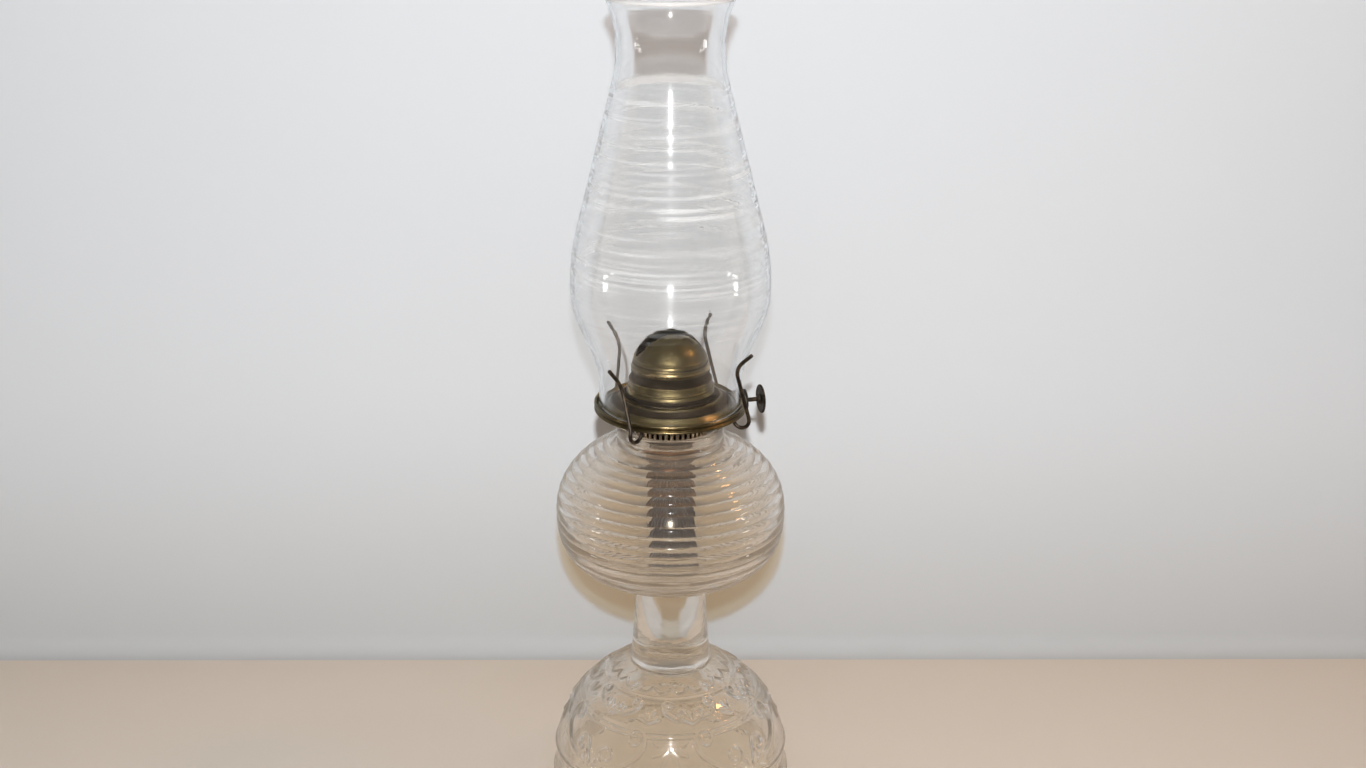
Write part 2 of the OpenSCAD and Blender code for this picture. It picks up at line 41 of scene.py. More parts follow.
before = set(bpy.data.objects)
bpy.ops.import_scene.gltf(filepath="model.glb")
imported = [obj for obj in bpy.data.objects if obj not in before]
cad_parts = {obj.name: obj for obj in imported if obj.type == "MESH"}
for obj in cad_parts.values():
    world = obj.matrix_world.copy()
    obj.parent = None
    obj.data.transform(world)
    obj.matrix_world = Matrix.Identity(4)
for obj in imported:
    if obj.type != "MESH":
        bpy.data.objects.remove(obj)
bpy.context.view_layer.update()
MM = 0.001
PHOTO_SIZE = (1366, 768)
PALE = (0.7, 0.68, 0.64)


def size(label, text, default):
    """A length, given in millimetres and kept in metres."""
    return FloatProperty(name=label, description=text, default=default * MM, unit="LENGTH", precision=5)


def share(label, text, default):
    """A plain number."""
    return FloatProperty(name=label, description=text, default=default)


def count(label, text, default):
    """A whole number of like things."""
    return IntProperty(name=label, description=text, default=default, min=1)


def turn(label, text, default):
    """An angle, given in degrees and kept in radians."""
    return FloatProperty(name=label, description=text, default=math.radians(default), subtype="ANGLE")


def tint(label, text, default):
    """A colour as scene-linear red, green and blue."""
    return FloatVectorProperty(name=label, description=text, default=default, subtype="COLOR", min=0, max=1)


class LAMP_PG_glass(bpy.types.PropertyGroup):
    """Sizes of the pressed glass body: foot, stem and font."""
    flange_radius: size("Flange radius", "Outermost radius of the foot", 67.15)
    flange_height: size("Flange height", "Height of the foot's lower flange", 7)
    flange_edge: size("Flange edge", "Radius of the flange's rounded edges", 1.7)
    groove_radius: size("Groove radius", "Radius of the groove over the flange", 64.3)
    groove_height: size("Groove height", "Height of that groove over the table", 12)
    dome_radius: size("Dome radius", "Radius of the foot's dome where it is widest", 65.2)
    dome_foot: size("Dome foot", "Height at which the dome is widest", 19)
    dome_height: size("Dome height", "Height of the dome's curve over its widest place", 58.4)
    dome_power: share("Dome power", "Power of the dome's curve; 2 is an ellipse", 1.8)
    foot_wall: size("Foot wall", "Thickness of the foot's wall", 5)
    ring_radius: size("Ring radius", "Radius of the ring under the stem", 23)
    ring_height: size("Ring height", "Height of that ring", 2.6)
    stem_height: size("Stem height", "From the ring to the font", 53.6)
    stem_radius: size("Stem radius", "Radius of the stem at its slimmest", 19.5)
    font_radius: size("Font radius", "Radius of the font over its ribs", 62.4)
    font_down: size("Font below", "Height of the font below its widest place", 39.8)
    font_up: size("Font above", "Height of the font above its widest place", 43.7)
    power_down: share("Lower power", "Power of the font's lower curve", 2.57)
    power_up: share("Upper power", "Power of the font's upper curve", 2.17)
    font_wall: size("Font wall", "Thickness of the font's wall", 3.2)
    font_floor: size("Font floor", "Thickness of the font's floor", 5)
    rib_depth: size("Rib depth", "Depth of the grooves between the font's ribs", 0.7)
    rib_pitch: size("Rib pitch", "Spacing of the ribs along the outline", 5.3)
    neck_radius: size("Neck radius", "Outer radius of the neck", 28.9)
    neck_wall: size("Neck wall", "Thickness of the neck's wall", 3)
    neck_cup: size("Neck cup", "Depth of the cup in the neck", 7)
    web: size("Web", "Height of the web over the font's upper curve", 3.5)
    throat_radius: size("Throat radius", "Radius of the throat that the collar hangs in", 17.6)
    columns: count("Columns", "Steps round the plain parts of the glass", 128)
    relief_columns: count("Relief columns", "Steps round the foot's relief", 600)
    relief_rows: count("Relief rows", "Steps up the foot's relief", 92)
    relief_height: size("Relief height", "Height of the scrolls on the foot", 1.1)
    scroll_sectors: count("Scroll sectors", "Large scrolls round the foot", 8)
    leaf_sectors: count("Leaf sectors", "Sprays of leaves over them", 12)


class LAMP_PG_chimney(bpy.types.PropertyGroup):
    """Sizes of the chimney, with heights from its lower edge."""
    foot_radius: size("Foot radius", "Radius of the chimney's foot", 38.1)
    foot_height: size("Foot height", "Height at which the foot starts to swell", 14.5)
    bulge_radius: size("Bulge radius", "Radius of the bulge", 52.6)
    bulge_height: size("Bulge height", "Height of the bulge", 62.5)
    waist_radius: size("Waist radius", "Radius of the waist", 27.8)
    waist_height: size("Waist height", "Height of the waist", 190.3)
    lip_radius: size("Lip radius", "Radius of the lip", 33.5)
    height: size("Height", "Height of the whole chimney", 216.5)
    swell_power: share("Swell power", "How late the foot swells into the bulge", 1.5)
    flare_power: share("Flare power", "How late the waist flares into the lip", 2.3)
    wall: size("Wall", "Thickness of the glass", 2.4)
    ease_low: share("Lower ease", "Part of the way to the waist in which the slope sets in", 0.3)
    ease_high: share("Upper ease", "Part of the way to the waist in which the slope dies out", 0.16)
    wave: size("Wave", "Depth of the drawn glass's faint level waves", 0.018)
    columns: count("Columns", "Steps round the chimney", 144)


class LAMP_PG_burner(bpy.types.PropertyGroup):
    """Sizes of the burner's sheet brass and wire."""
    sheet: size("Sheet", "Thickness of the sheet brass", 0.6)
    deck_radius: size("Deck radius", "Radius of the deck's rim", 40.9)
    rim_height: size("Rim height", "Height of the rim", 4.4)
    seat_depth: size("Seat depth", "Depth of the chimney's seat below the rim", 1.8)
    crown_radius: size("Crown radius", "Radius of the raised ring round the dome", 27)
    crown_rise: size("Crown rise", "Height of that ring over the seat", 5.6)
    deck_hole: size("Deck hole", "Radius of the deck's middle hole", 23.6)
    seat_radius: size("Seat radius", "Inner radius of the chimney's seat", 35)
    cap_radius: size("Cap radius", "Radius of the flame dome's cap", 20.9)
    dome_height: size("Dome height", "Height of the flame dome", 34.5)
    slot_length: size("Slot length", "Length of the flame slot", 37.6)
    slot_width: size("Slot width", "Width of the flame slot", 9.4)
    thread_radius: size("Thread radius", "Radius of the screw shell", 15.2)
    thread_pitch: size("Thread pitch", "Climb of the thread in one turn", 2.4)
    thread_depth: size("Thread depth", "Depth of the rolled thread", 0.22)
    wire_radius: size("Wire radius", "Radius of the prongs' spring wire", 1.02)
    leg_inset: size("Leg inset", "From the deck's edge in to the prongs' legs", 4.9)
    leg_height: size("Leg height", "Straight part of a prong's leg", 3.65)
    bend_radius: size("Bend radius", "Radius of the bend under the rim", 4.3)
    side_bend: size("Side bend", "Radius of the bend that leans a finger to the side", 6)
    hook_radius: size("Hook radius", "Radius of the finger's hooked end", 11.3)
    hook_turn: turn("Hook turn", "Bend of that end away from the glass", 53.8)
    tip_length: size("Tip length", "Straight tip of the hooked end", 7.9)
    thumb_radius: size("Thumb radius", "Radius of the thumb wheel", 7.9)
    thumb_teeth: count("Thumb teeth", "Notches round the thumb wheel", 36)
    wick_turn: turn("Wick turn", "Turn of the wick and its shaft about the upright axis", 14.5)
    columns: count("Columns", "Steps round the turned sheet", 128)


class LAMP_PG_finish(bpy.types.PropertyGroup):
    """Colours of the lamp."""
    body_glass: tint("Body glass", "Clear pressed glass with a faint warm cast", (0.975, 0.95, 0.918))
    foot_shade: tint("Foot shade", "Light that a wall of the foot lets through to its shadow", (0.9, 0.87, 0.81))
    font_shade: tint("Font shade", "Light that a wall of the font lets through to its shadow", (0.862, 0.768, 0.625))
    # This colour serves both the real dust and the painted pale sheen at the glass's edges
    dust_and_sheen: tint("Dust", "Faint warm dust on the pressed glass", (0.66, 0.6, 0.52))
    chimney_glass: tint("Chimney glass", "Clear blown glass", (0.985, 0.985, 0.985))
    chimney_shade: tint("Chimney shade", "Light that the chimney lets through to its shadow", (0.963, 0.963, 0.959))
    neck_shade: tint("Neck shade", "Light that the chimney's flared neck lets through to its shadow", (0.77, 0.735, 0.715))
    brass: tint("Brass", "Rubbed brass under the tarnish", (0.5, 0.37, 0.19))
    tarnish: tint("Tarnish", "Olive tarnish on the brass", (0.1, 0.077, 0.036))
    red_brass: tint("Red brass", "Rubbed metal of the screw shell and the collar", (0.15, 0.08, 0.055))
    red_tarnish: tint("Red tarnish", "Their red-brown tarnish", (0.06, 0.03, 0.022))
    # This near-black colour paints shade into the brass's coves and creases, as well as its small real stains
    soot_and_shade: tint("Soot", "Nearly black stains in corners", (0.03, 0.022, 0.014))
    steel: tint("Steel", "Blackened spring wire", (0.045, 0.035, 0.026))
    rust: tint("Rust", "Brown bloom on the wire", (0.12, 0.068, 0.035))
    cotton: tint("Cotton", "Oil-stained cotton above", (0.125, 0.068, 0.034))
    wet_cotton: tint("Wet cotton", "Blue-black cotton below", (0.02, 0.018, 0.035))
    plaster: tint("Plaster", "Plaster stained red-brown by oil and rust", (0.17, 0.095, 0.06))
    wall: tint("Wall", "Backdrop cloth", (0.72, 0.745, 0.775))
    table: tint("Table", "Pale table top", (0.755, 0.66, 0.565))


class LAMP_PG_stage(bpy.types.PropertyGroup):
    """Camera, floor, backdrop and lamps."""
    camera_distance: size("Camera distance", "From the lamp's axis, level with the table", 913)
    camera_height: size("Camera height", "Over the table", 568.8)
    camera_pitch: turn("Camera pitch", "Downward tilt of the camera", 20)
    focal_pixels: share("Focal length", "Focal length in the photograph's pixels", 1820)
    axis_column: share("Axis column", "Photograph's column on which the lamp's axis lies", 670.5)
    wall_distance: size("Wall distance", "From the lamp's axis back to the wall", 143)
    cove_radius: size("Cove radius", "Radius of the bend from table to wall", 12)
    half_width: size("Half width", "Half the width of table and wall", 2500)


def sizes(group):
    """The property group of that name in the open scene."""
    return getattr(bpy.context.scene, "lamp_" + group)


class Wire:
    """A shader socket in an expression: an operator on it adds a Math node."""

    def __init__(self, finish, socket):
        self.finish, self.socket = finish, socket

    def math(self, operation, *values):
        return self.finish.node("ShaderNodeMath", {"operation": operation}, *values)

    def __add__(self, other):
        return self.math("ADD", self, other)

    def __sub__(self, other):
        return self.math("SUBTRACT", self, other)

    def __rsub__(self, other):
        return self.math("SUBTRACT", other, self)

    def __mul__(self, other):
        return self.math("MULTIPLY", self, other)

    def __truediv__(self, other):
        return self.math("DIVIDE", self, other)

    def __rtruediv__(self, other):
        return self.math("DIVIDE", other, self)

    def __pow__(self, other):
        return self.math("POWER", self, other)

    __radd__ = __add__
    __rmul__ = __mul__

    def steps(self, low, high):
        """0 below low, 1 over high and a smooth climb between them."""
        span = {"interpolation_type": "SMOOTHSTEP", "clamp": True}
        return self.finish.node("ShaderNodeMapRange", span, self, low, high, 0.0, 1.0)


class Finish:
    """A material or the world, and the one method that adds its nodes."""

    def __init__(self, name, kept=None):
        self.material = kept or bpy.data.materials.new(name)
        self.material.use_nodes = True
        self.tree = self.material.node_tree
        self.tree.nodes.clear()
        if not kept:
            self.place = self.node("ShaderNodeTexCoord", out="Object")

    def feed(self, socket, value):
        if isinstance(value, Wire):
            self.tree.links.new(value.socket, socket)
        elif hasattr(socket.default_value, "__len__") and len(socket.default_value) == 4 and len(value) == 3:
            socket.default_value = (*value, 1)
        else:
            socket.default_value = value

    def node(self, kind, settings=None, *values, out=0, **named):
        """Adds a node: its settings first, then the values or links of its sockets."""
        made = self.tree.nodes.new(kind)
        for key, value in (settings or {}).items():
            setattr(made, key, value)
        for index, value in enumerate(values):
            self.feed(made.inputs[index], value)
        for key, value in named.items():
            self.feed(made.inputs[key.replace("_", " ")], value)
        return Wire(self, made.outputs[out])

    def noise(self, scale, detail=3.0, vector=None, roughness=0.5):
        """Noise over the piece, from 0 to 1; scale is in grains per metre."""
        return self.node("ShaderNodeTexNoise", None, Vector=vector or self.place, Scale=scale,
                         Detail=detail, Roughness=roughness)

    def mix(self, factor, first, second):
        """A colour between two colours."""
        made = self.tree.nodes.new("ShaderNodeMix")
        made.data_type = "RGBA"
        made.clamp_factor = True
        for socket, value in zip((made.inputs[0], made.inputs[6], made.inputs[7]), (factor, first, second)):
            self.feed(socket, value)
        return Wire(self, made.outputs[2])

    def axes(self):
        """The three Object coordinates, in metres."""
        split = self.tree.nodes.new("ShaderNodeSeparateXYZ")
        self.feed(split.inputs[0], self.place)
        return [Wire(self, split.outputs[i]) for i in range(3)]

    def stretched(self, x, y, z):
        """Object coordinates scaled along each axis."""
        return self.node("ShaderNodeMapping", None, Vector=self.place, Scale=(x, y, z))

    def worn(self):
        """How far an edge stands proud, from 0 to 1, kept on the mesh as an attribute."""
        return self.node("ShaderNodeAttribute", {"attribute_name": "proud"}, out="Fac")

    def bump(self, height, distance, strength=1.0):
        return self.node("ShaderNodeBump", None, Height=height, Distance=distance, Strength=strength)

    def ends(self, shader, kind="Material"):
        """Joins the finished shader to the output."""
        out = self.tree.nodes.new("ShaderNodeOutput" + kind)
        self.tree.links.new(shader.socket, out.inputs[0])
        return self.material


def clear_glass(name, colour, shade, waves, dust_and_painted_light, light_and_dust_colour, coat, upper):
    """Clear glass; what lights other surfaces goes straight on through it, a little weakened.

    Its coat is (weight, roughness): the soft part of its highlights. Its upper part lets light through by
    another shade: upper is (from height, to height, shade).
    """
    f = Finish(name)
    surface = f.node("ShaderNodeBsdfPrincipled", None, Base_Color=colour, Roughness=0.0, IOR=1.5,
                     Transmission_Weight=1.0, Coat_Weight=coat[0], Coat_Roughness=coat[1], Normal=waves(f))
    # A lit matt film: on the chimney it is painted light, and on the body it is real dust with a painted pale sheen at
    # the edges
    light_and_dust_film = f.node("ShaderNodeBsdfPrincipled", None, Base_Color=light_and_dust_colour, Roughness=0.8)
    surface = f.node("ShaderNodeMixShader", None, dust_and_painted_light(f), surface, light_and_dust_film)
    passed = f.node("ShaderNodeBsdfTransparent", None, Color=shade)
    grazed = f.node("ShaderNodeBsdfTransparent", None, Color=[c ** 5 for c in shade])
    slant = f.node("ShaderNodeLayerWeight", None, 0.5, out="Facing").steps(0.66, 1.0)
    passed = f.node("ShaderNodeMixShader", None, slant, passed, grazed)
    low, high, tinted = upper
    passed = f.node("ShaderNodeMixShader", None, f.axes()[2].steps(low, high), passed,
                    f.node("ShaderNodeBsdfTransparent", None, Color=tinted))
    soft = f.node("ShaderNodeLightPath", out="Is Diffuse Ray")
    surface = f.node("ShaderNodeMixShader", None, soft, surface, passed)
    shadow = f.node("ShaderNodeLightPath", out="Is Shadow Ray")
    return f.ends(f.node("ShaderNodeMixShader", None, shadow, surface, passed))


def pressed_waves(f):
    """Small unevenness left by the mould."""
    return f.bump(f.noise(90, 2) + f.noise(400, 1) * 0.15, 0.0005, 0.4)


def drawn_waves(f):
    """Long level waves, as on glass blown in a turning mould."""
    streaks = f.noise(1, 2, f.stretched(9, 9, 260))
    broad = f.noise(1, 1, f.stretched(5, 5, 70))
    calm = f.axes()[2].steps(0.262, 0.3)
    return f.bump(streaks * calm * 0.6 + broad * 0.8, 0.0005, 0.35)


def painted_caustic_streaks(f):
    """Painted light on the chimney: fine level lines of pale film round its body standing in for caustic light, a pale
    ring behind its waist for the caustic of its rim, and a pale lip as a painted highlight.
    """
    x, depth, height = f.axes()
    fine = f.noise(1, 1, f.stretched(7, 7, 430)).steps(0.53, 0.7)
    finer = f.noise(1, 1, f.stretched(9, 9, 800)).steps(0.55, 0.7)
    broken = f.noise(1, 2, f.stretched(26, 26, 50)).steps(0.33, 0.62)
    body = height.steps(0.262, 0.31) * (1 - height.steps(0.39, 0.402))
    ring = height.steps(0.3915, 0.3935) * (1 - height.steps(0.3955, 0.399)) * depth.steps(0.0, 0.01)
    # Shares of white film: painted caustic lines, a painted caustic ring and a painted highlight on the lip
    return (fine * 0.24 + finer * 0.2) * broken * body + ring * 0.32 + height.steps(0.4402, 0.4412) * 0.5


def dust_and_edge_sheen(f):
    """Faint dust on the pressed glass, with a painted pale sheen that thickens where the glass is seen edge on."""
    edge = f.node("ShaderNodeLayerWeight", None, 0.4, out="Facing")
    # Painted sheen: the share that grows towards edges seen edge on; the small even share and the noise are dust
    return 0.008 + edge * 0.36 + f.noise(40, 4) * 0.035


def aged_brass(name, dark, metal, tarnished, painted_shade_hollows=()):
    """Tarnished sheet brass, rubbed bright where it stands proud, with painted shade: bands darkened nearly to black in
    its coves and creases, where shade falls.

    Dark moves it towards the tarnish. Each band of painted shade is an axis, with its place, reach and depth; axis 3 is
    the radius.
    """
    p = sizes("finish")
    f = Finish(name)
    cloud = f.noise(60, 5, roughness=0.62)
    speckle = f.noise(900, 3)
    streak = f.noise(1, 3, f.stretched(60, 60, 700))
    proud = f.worn()
    tarnish = (cloud * 0.7 + streak * 0.3).steps(0.62 - dark * 0.5, 0.86 - dark * 0.4)
    tarnish = (tarnish - proud * 0.85).steps(0.0, 1.0)
    colour = f.mix(tarnish, metal, tarnished)
    stain = speckle.steps(0.6, 0.75) * cloud.steps(0.45, 0.65)
    x, y, z = f.axes()
    places = (x, y, z, (x * x + y * y) ** 0.5)
    # Painted shade: each band darkens the brass towards the soot colour where a cove or crease lies in shade; stain
    # then holds both the small real stains and this painted shade
    for axis, place, reach, depth in painted_shade_hollows:
        off = places[axis] + (cloud - 0.5) * 0.002 - place
        hollow = 1 - off.math("ABSOLUTE", off).steps(reach * 0.45, reach)
        stain = stain.math("MAXIMUM", stain, hollow * (0.6 + cloud * 0.8) * depth)
    colour = f.mix(stain * 0.9, colour, p.soot_and_shade)
    rough = 0.24 + tarnish * 0.14 + stain * 0.25 + (speckle - 0.5) * 0.12
    relief = f.bump(speckle * 0.5 + cloud * 0.8 + stain * -0.6, 0.0002, 0.35)
    return f.ends(f.node("ShaderNodeBsdfPrincipled", None, Base_Color=colour, Metallic=1.0,
                         Roughness=rough, Normal=relief))


def black_wire(name):
    """Blackened spring steel with a brown bloom."""
    p = sizes("finish")
    f = Finish(name)
    bloom = f.noise(350, 4).steps(0.5, 0.7)
    grain = f.noise(2500, 2)
    colour = f.mix(bloom * 0.6, p.steel, p.rust)
    return f.ends(f.node("ShaderNodeBsdfPrincipled", None, Base_Color=colour, Metallic=0.85 - bloom * 0.4,
                         Roughness=0.36 + bloom * 0.2 + grain * 0.08, Normal=f.bump(grain, 0.0001, 0.3)))


def woven_cotton(name):
    """Flat woven wick: upright ribs with a slanting over-and-under, stained with oil."""
    p = sizes("finish")
    f = Finish(name)
    along = f.node("ShaderNodeMapping", None, Vector=f.place,
                   Rotation=(0, 0, -sizes("burner").wick_turn))
    split = f.tree.nodes.new("ShaderNodeSeparateXYZ")
    f.feed(split.inputs[0], along)
    across, height = Wire(f, split.outputs[0]), Wire(f, split.outputs[2])
    rib = (across * (2 * math.pi / 0.0016)).math("SINE", across * (2 * math.pi / 0.0016))
    pick = height * (2 * math.pi / 0.0018) + rib * 1.2
    pick = pick.math("SINE", pick)
    cloth = rib * 0.5 + pick * 0.5
    stain = (height + (f.noise(70, 4) - 0.5) * 0.03).steps(0.158, 0.186)
    char = (height + (f.noise(300, 3) - 0.5) * 0.004).steps(0.2575, 0.2605)
    colour = f.mix(stain, p.wet_cotton, p.cotton)
    # Painted shade: the weave's low places between the threads are darkened towards black
    colour = f.mix(cloth.steps(-0.8, 0.6) * 0.6 + 0.25, f.mix(0.75, colour, (0.01, 0.008, 0.008)), colour)
    colour = f.mix(char, colour, (0.006, 0.006, 0.006))
    return f.ends(f.node("ShaderNodeBsdfPrincipled", None, Base_Color=colour,
                         Roughness=0.5 + stain * 0.35, Normal=f.bump(cloth, 0.0004, 0.8)))


def set_plaster(name):
    """Matt plaster, pitted."""
    f = Finish(name)
    pits = f.noise(1200, 3)
    colour = f.mix(pits.steps(0.3, 0.5), (0.09, 0.05, 0.033), sizes("finish").plaster)
    return f.ends(f.node("ShaderNodeBsdfPrincipled", None, Base_Color=colour, Roughness=0.9,
                         Normal=f.bump(pits, 0.0003, 0.5)))


def stage_cloth(name, colour, one_sided):
    """Plain matt stage surface; the wall lets through what looks at its back, and is painted darker towards the table,
    a painted shade where less light reaches.

    Mirrored in glass or brass, the table before the lamp is dark, as the room there is. Far off and behind the
    wall the table is seen evenly pale.
    """
    f = Finish(name)
    shade = f.mix(f.noise(3, 3), [c * 0.97 for c in colour], colour)
    if one_sided:
        # Painted shade: the wall's colour darkens towards the table
        shade = f.mix(f.axes()[2].steps(-0.05, 0.2), [c * part for c, part in zip(colour, (0.77, 0.75, 0.72))], shade)
    surface = f.node("ShaderNodeBsdfPrincipled", None, Base_Color=shade, Roughness=0.9, Specular_IOR_Level=0.2)
    if not one_sided:
        unlit = f.node("ShaderNodeBsdfPrincipled", None, Base_Color=(0.1, 0.09, 0.08), Roughness=0.9)
        x, y, _ = f.axes()
        mirrored = f.node("ShaderNodeLightPath", out="Glossy Depth").steps(0.4, 0.6) * (1 - y.steps(-0.18, -0.075))
        surface = f.node("ShaderNodeMixShader", None, mirrored, surface, unlit)
        away = (x * x + y * y) ** 0.5
        flat = away.math("MAXIMUM", away.steps(0.5, 1.0), y.steps(0.1305, 0.1315))
        seen = f.node("ShaderNodeLightPath", out="Is Camera Ray") + f.node("ShaderNodeLightPath", out="Is Transmission Ray")
        even = f.node("ShaderNodeEmission", None, f.mix(away.steps(0.6, 2.5), (0.58, 0.49, 0.41), PALE), 1.0)
        return f.ends(f.node("ShaderNodeMixShader", None, seen * flat, surface, even))
    back = f.node("ShaderNodeNewGeometry", out="Backfacing")
    return f.ends(f.node("ShaderNodeMixShader", None, back, surface, f.node("ShaderNodeBsdfTransparent")))


MATERIALS = {}


def material(name):
    """The lamp's material of that name, made on first use."""
    p = sizes("finish")
    makers = {
        "body_glass": lambda: clear_glass("body_glass", p.body_glass, p.foot_shade, pressed_waves, dust_and_edge_sheen, p.dust_and_sheen,
                                          (0.1, 0.11), (0.1, 0.125, p.font_shade)),
        "chimney_glass": lambda: clear_glass("chimney_glass", p.chimney_glass, p.chimney_shade, drawn_waves,
                                             painted_caustic_streaks, (0.9, 0.9, 0.9), (0.12, 0.13), (0.4185, 0.4215, p.neck_shade)),
        "brass": lambda: aged_brass("brass", 0.35, p.brass, p.tarnish),
        "pale_brass": lambda: aged_brass("pale_brass", 0.3, (0.62, 0.53, 0.41), (0.3, 0.22, 0.15)),
        "brown_brass": lambda: aged_brass("brown_brass", 0.75, p.red_brass, p.red_tarnish),
        # Bands of painted shade in the dome's cove and creases and in the deck's creases, where shade falls
        "dome_brass": lambda: aged_brass("dome_brass", 0.8, p.brass, p.tarnish,
                                         ((2, 0.2443, 0.0032, 1.8), (2, 0.2335, 0.0018, 1.4), (2, 0.2512, 0.0007, 1.0))),
        "deck_brass": lambda: aged_brass("deck_brass", 0.85, p.brass, p.tarnish,
                                         ((3, 0.0298, 0.0028, 1.2), (3, 0.0252, 0.0014, 1.5), (3, 0.0365, 0.0012, 1.3))),
        "wire": lambda: black_wire("wire"),
        "cotton": lambda: woven_cotton("cotton"),
        "plaster": lambda: set_plaster("plaster"),
    }
    if name not in MATERIALS:
        MATERIALS[name] = makers[name]()
    return MATERIALS[name]


def select_none():
    """Leaves no object selected, outside edit mode."""
    if bpy.context.object and bpy.context.object.mode != "OBJECT":
        bpy.ops.object.mode_set(mode="OBJECT")
    bpy.ops.object.select_all(action="DESELECT")


def pick(piece):
    """Selects that object alone."""
    select_none()
    piece.select_set(True)
    bpy.context.view_layer.objects.active = piece


def edit(piece, part="SELECT"):
    """Opens that object in edit mode, all selected or none."""
    pick(piece)
    bpy.ops.object.mode_set(mode="EDIT")
    bpy.ops.mesh.select_all(action=part)


def tidy_mesh(piece, smooth=40):
    """Merges doubles, turns the faces outwards and shades the piece smooth up to an angle."""
    edit(piece)
    bpy.ops.mesh.remove_doubles(threshold=1e-6)
    bpy.ops.mesh.dissolve_degenerate(threshold=1e-7)
    bpy.ops.mesh.select_all(action="SELECT")
    bpy.ops.mesh.normals_make_consistent(inside=False)
    bpy.ops.object.mode_set(mode="OBJECT")
    bpy.ops.object.shade_smooth_by_angle(angle=math.radians(smooth))


def lathe(name, outline, columns, closed=True):
    """Turns an outline of (radius, height) points about the upright axis, from a ring of as many points."""
    select_none()
    bpy.ops.mesh.primitive_circle_add(vertices=len(outline), radius=1)
    piece = bpy.context.object
    piece.name = piece.data.name = name
    for vertex, (radius, height) in zip(piece.data.vertices, outline):
        vertex.co = (radius, 0, height)
    if not closed:
        edit(piece, "DESELECT")
        bpy.ops.object.mode_set(mode="OBJECT")
        last = {0, len(outline) - 1}
        for edge in piece.data.edges:
            edge.select = set(edge.vertices) == last
        bpy.ops.object.mode_set(mode="EDIT")
        bpy.ops.mesh.delete(type="EDGE")
    pick(piece)
    turning = piece.modifiers.new("turning", "SCREW")
    turning.steps = turning.render_steps = columns
    turning.use_merge_vertices, turning.merge_threshold = True, 1e-6
    bpy.ops.object.modifier_apply(modifier=turning.name)
    return piece


def points_of(piece):
    """The mesh's points as an array."""
    points = np.zeros(len(piece.data.vertices) * 3)
    piece.data.vertices.foreach_get("co", points)
    return points.reshape(-1, 3)


def set_points(piece, points):
    piece.data.vertices.foreach_set("co", points.ravel())
    piece.data.update()


def mark_proud(piece, reach=0.5):
    """Writes how far each point stands proud of its neighbours, for the wear of the brass."""
    mesh = piece.data
    points = points_of(piece)
    normals = np.zeros(len(mesh.vertices) * 3)
    mesh.vertices.foreach_get("normal", normals)
    normals = normals.reshape(-1, 3)
    edges = np.zeros(len(mesh.edges) * 2, int)
    mesh.edges.foreach_get("vertices", edges)
    a, b = edges.reshape(-1, 2).T
    along = points[b] - points[a]
    along /= np.maximum(np.linalg.norm(along, axis=1), 1e-9)[:, None]
    total, seen = np.zeros(len(points)), np.zeros(len(points))
    for here, step in ((a, along), (b, -along)):
        np.add.at(total, here, -(normals[here] * step).sum(1))
        np.add.at(seen, here, 1)
    proud = np.clip(total / np.maximum(seen, 1) / reach, 0, 1)
    for _ in range(2):
        spread = np.zeros(len(points))
        np.add.at(spread, a, proud[b])
        np.add.at(spread, b, proud[a])
        proud = 0.5 * proud + 0.5 * spread / np.maximum(seen, 1)
    kept = mesh.attributes.new("proud", "FLOAT", "POINT")
    kept.data.foreach_set("value", proud)


def finish_piece(piece, finish, body, slot, *nodes):
    """Gives a finished piece its material and body, and hides the imported nodes that it stands for."""
    piece.data.materials.clear()
    piece.data.materials.append(material(finish))
    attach(piece, body)
    if nodes:
        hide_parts(*nodes)


def bow(radius, height, power, end_radius, steps):
    """Bowed curve from its widest place up to where its radius is end_radius."""
    last = math.acos((end_radius / radius) ** (power / 2))
    angles = [last * i / steps for i in range(steps + 1)]
    return [(radius * math.cos(a) ** (2 / power), height * math.sin(a) ** (2 / power)) for a in angles]


def bow_height(part, power):
    """Height of a bowed curve where its radius is that share, as a share of its height."""
    return (1 - part ** power) ** (1 / power)


def moved(path, rise):
    return [(r, z + rise) for r, z in path]


def arc(centre, radius, start, end, steps):
    """Arc from one angle to another, in degrees."""
    angles = [math.radians(start + (end - start) * i / steps) for i in range(steps + 1)]
    return [(centre[0] + radius * math.cos(a), centre[1] + radius * math.sin(a)) for a in angles]


def resampled(path, steps, low=0.0, high=1.0):
    """Points at even lengths along a path, and the path's normal at each, to its right."""
    path = np.array(path)
    marks = np.concatenate([[0], np.cumsum(np.linalg.norm(np.diff(path, axis=0), axis=1))])
    places = marks[-1] * np.linspace(low, high, steps + 1)
    points = np.stack([np.interp(places, marks, path[:, i]) for i in (0, 1)], 1)
    ahead, behind = places + marks[-1] / 400, places - marks[-1] / 400
    run = np.stack([np.interp(ahead, marks, path[:, i]) - np.interp(behind, marks, path[:, i]) for i in (0, 1)], 1)
    run /= np.linalg.norm(run, axis=1)[:, None]
    return points, np.stack([run[:, 1], -run[:, 0]], 1), places


def sheet_outline(path, thickness):
    """Closed outline of a sheet whose outer side is the path; the sheet lies to the path's left."""
    path = np.array(path)
    run = np.diff(path, axis=0)
    run /= np.linalg.norm(run, axis=1)[:, None]
    left = np.stack([-run[:, 1], run[:, 0]], 1)
    before, after = np.vstack([left[:1], left]), np.vstack([left, left[-1:]])
    middle = before + after
    middle /= np.linalg.norm(middle, axis=1)[:, None]
    reach = np.maximum((middle * before).sum(1), 0.5)[:, None]
    inner = path + middle * thickness / reach
    inner[:, 0] = np.maximum(inner[:, 0], 0)
    return [tuple(p) for p in np.vstack([path, inner[::-1]])]


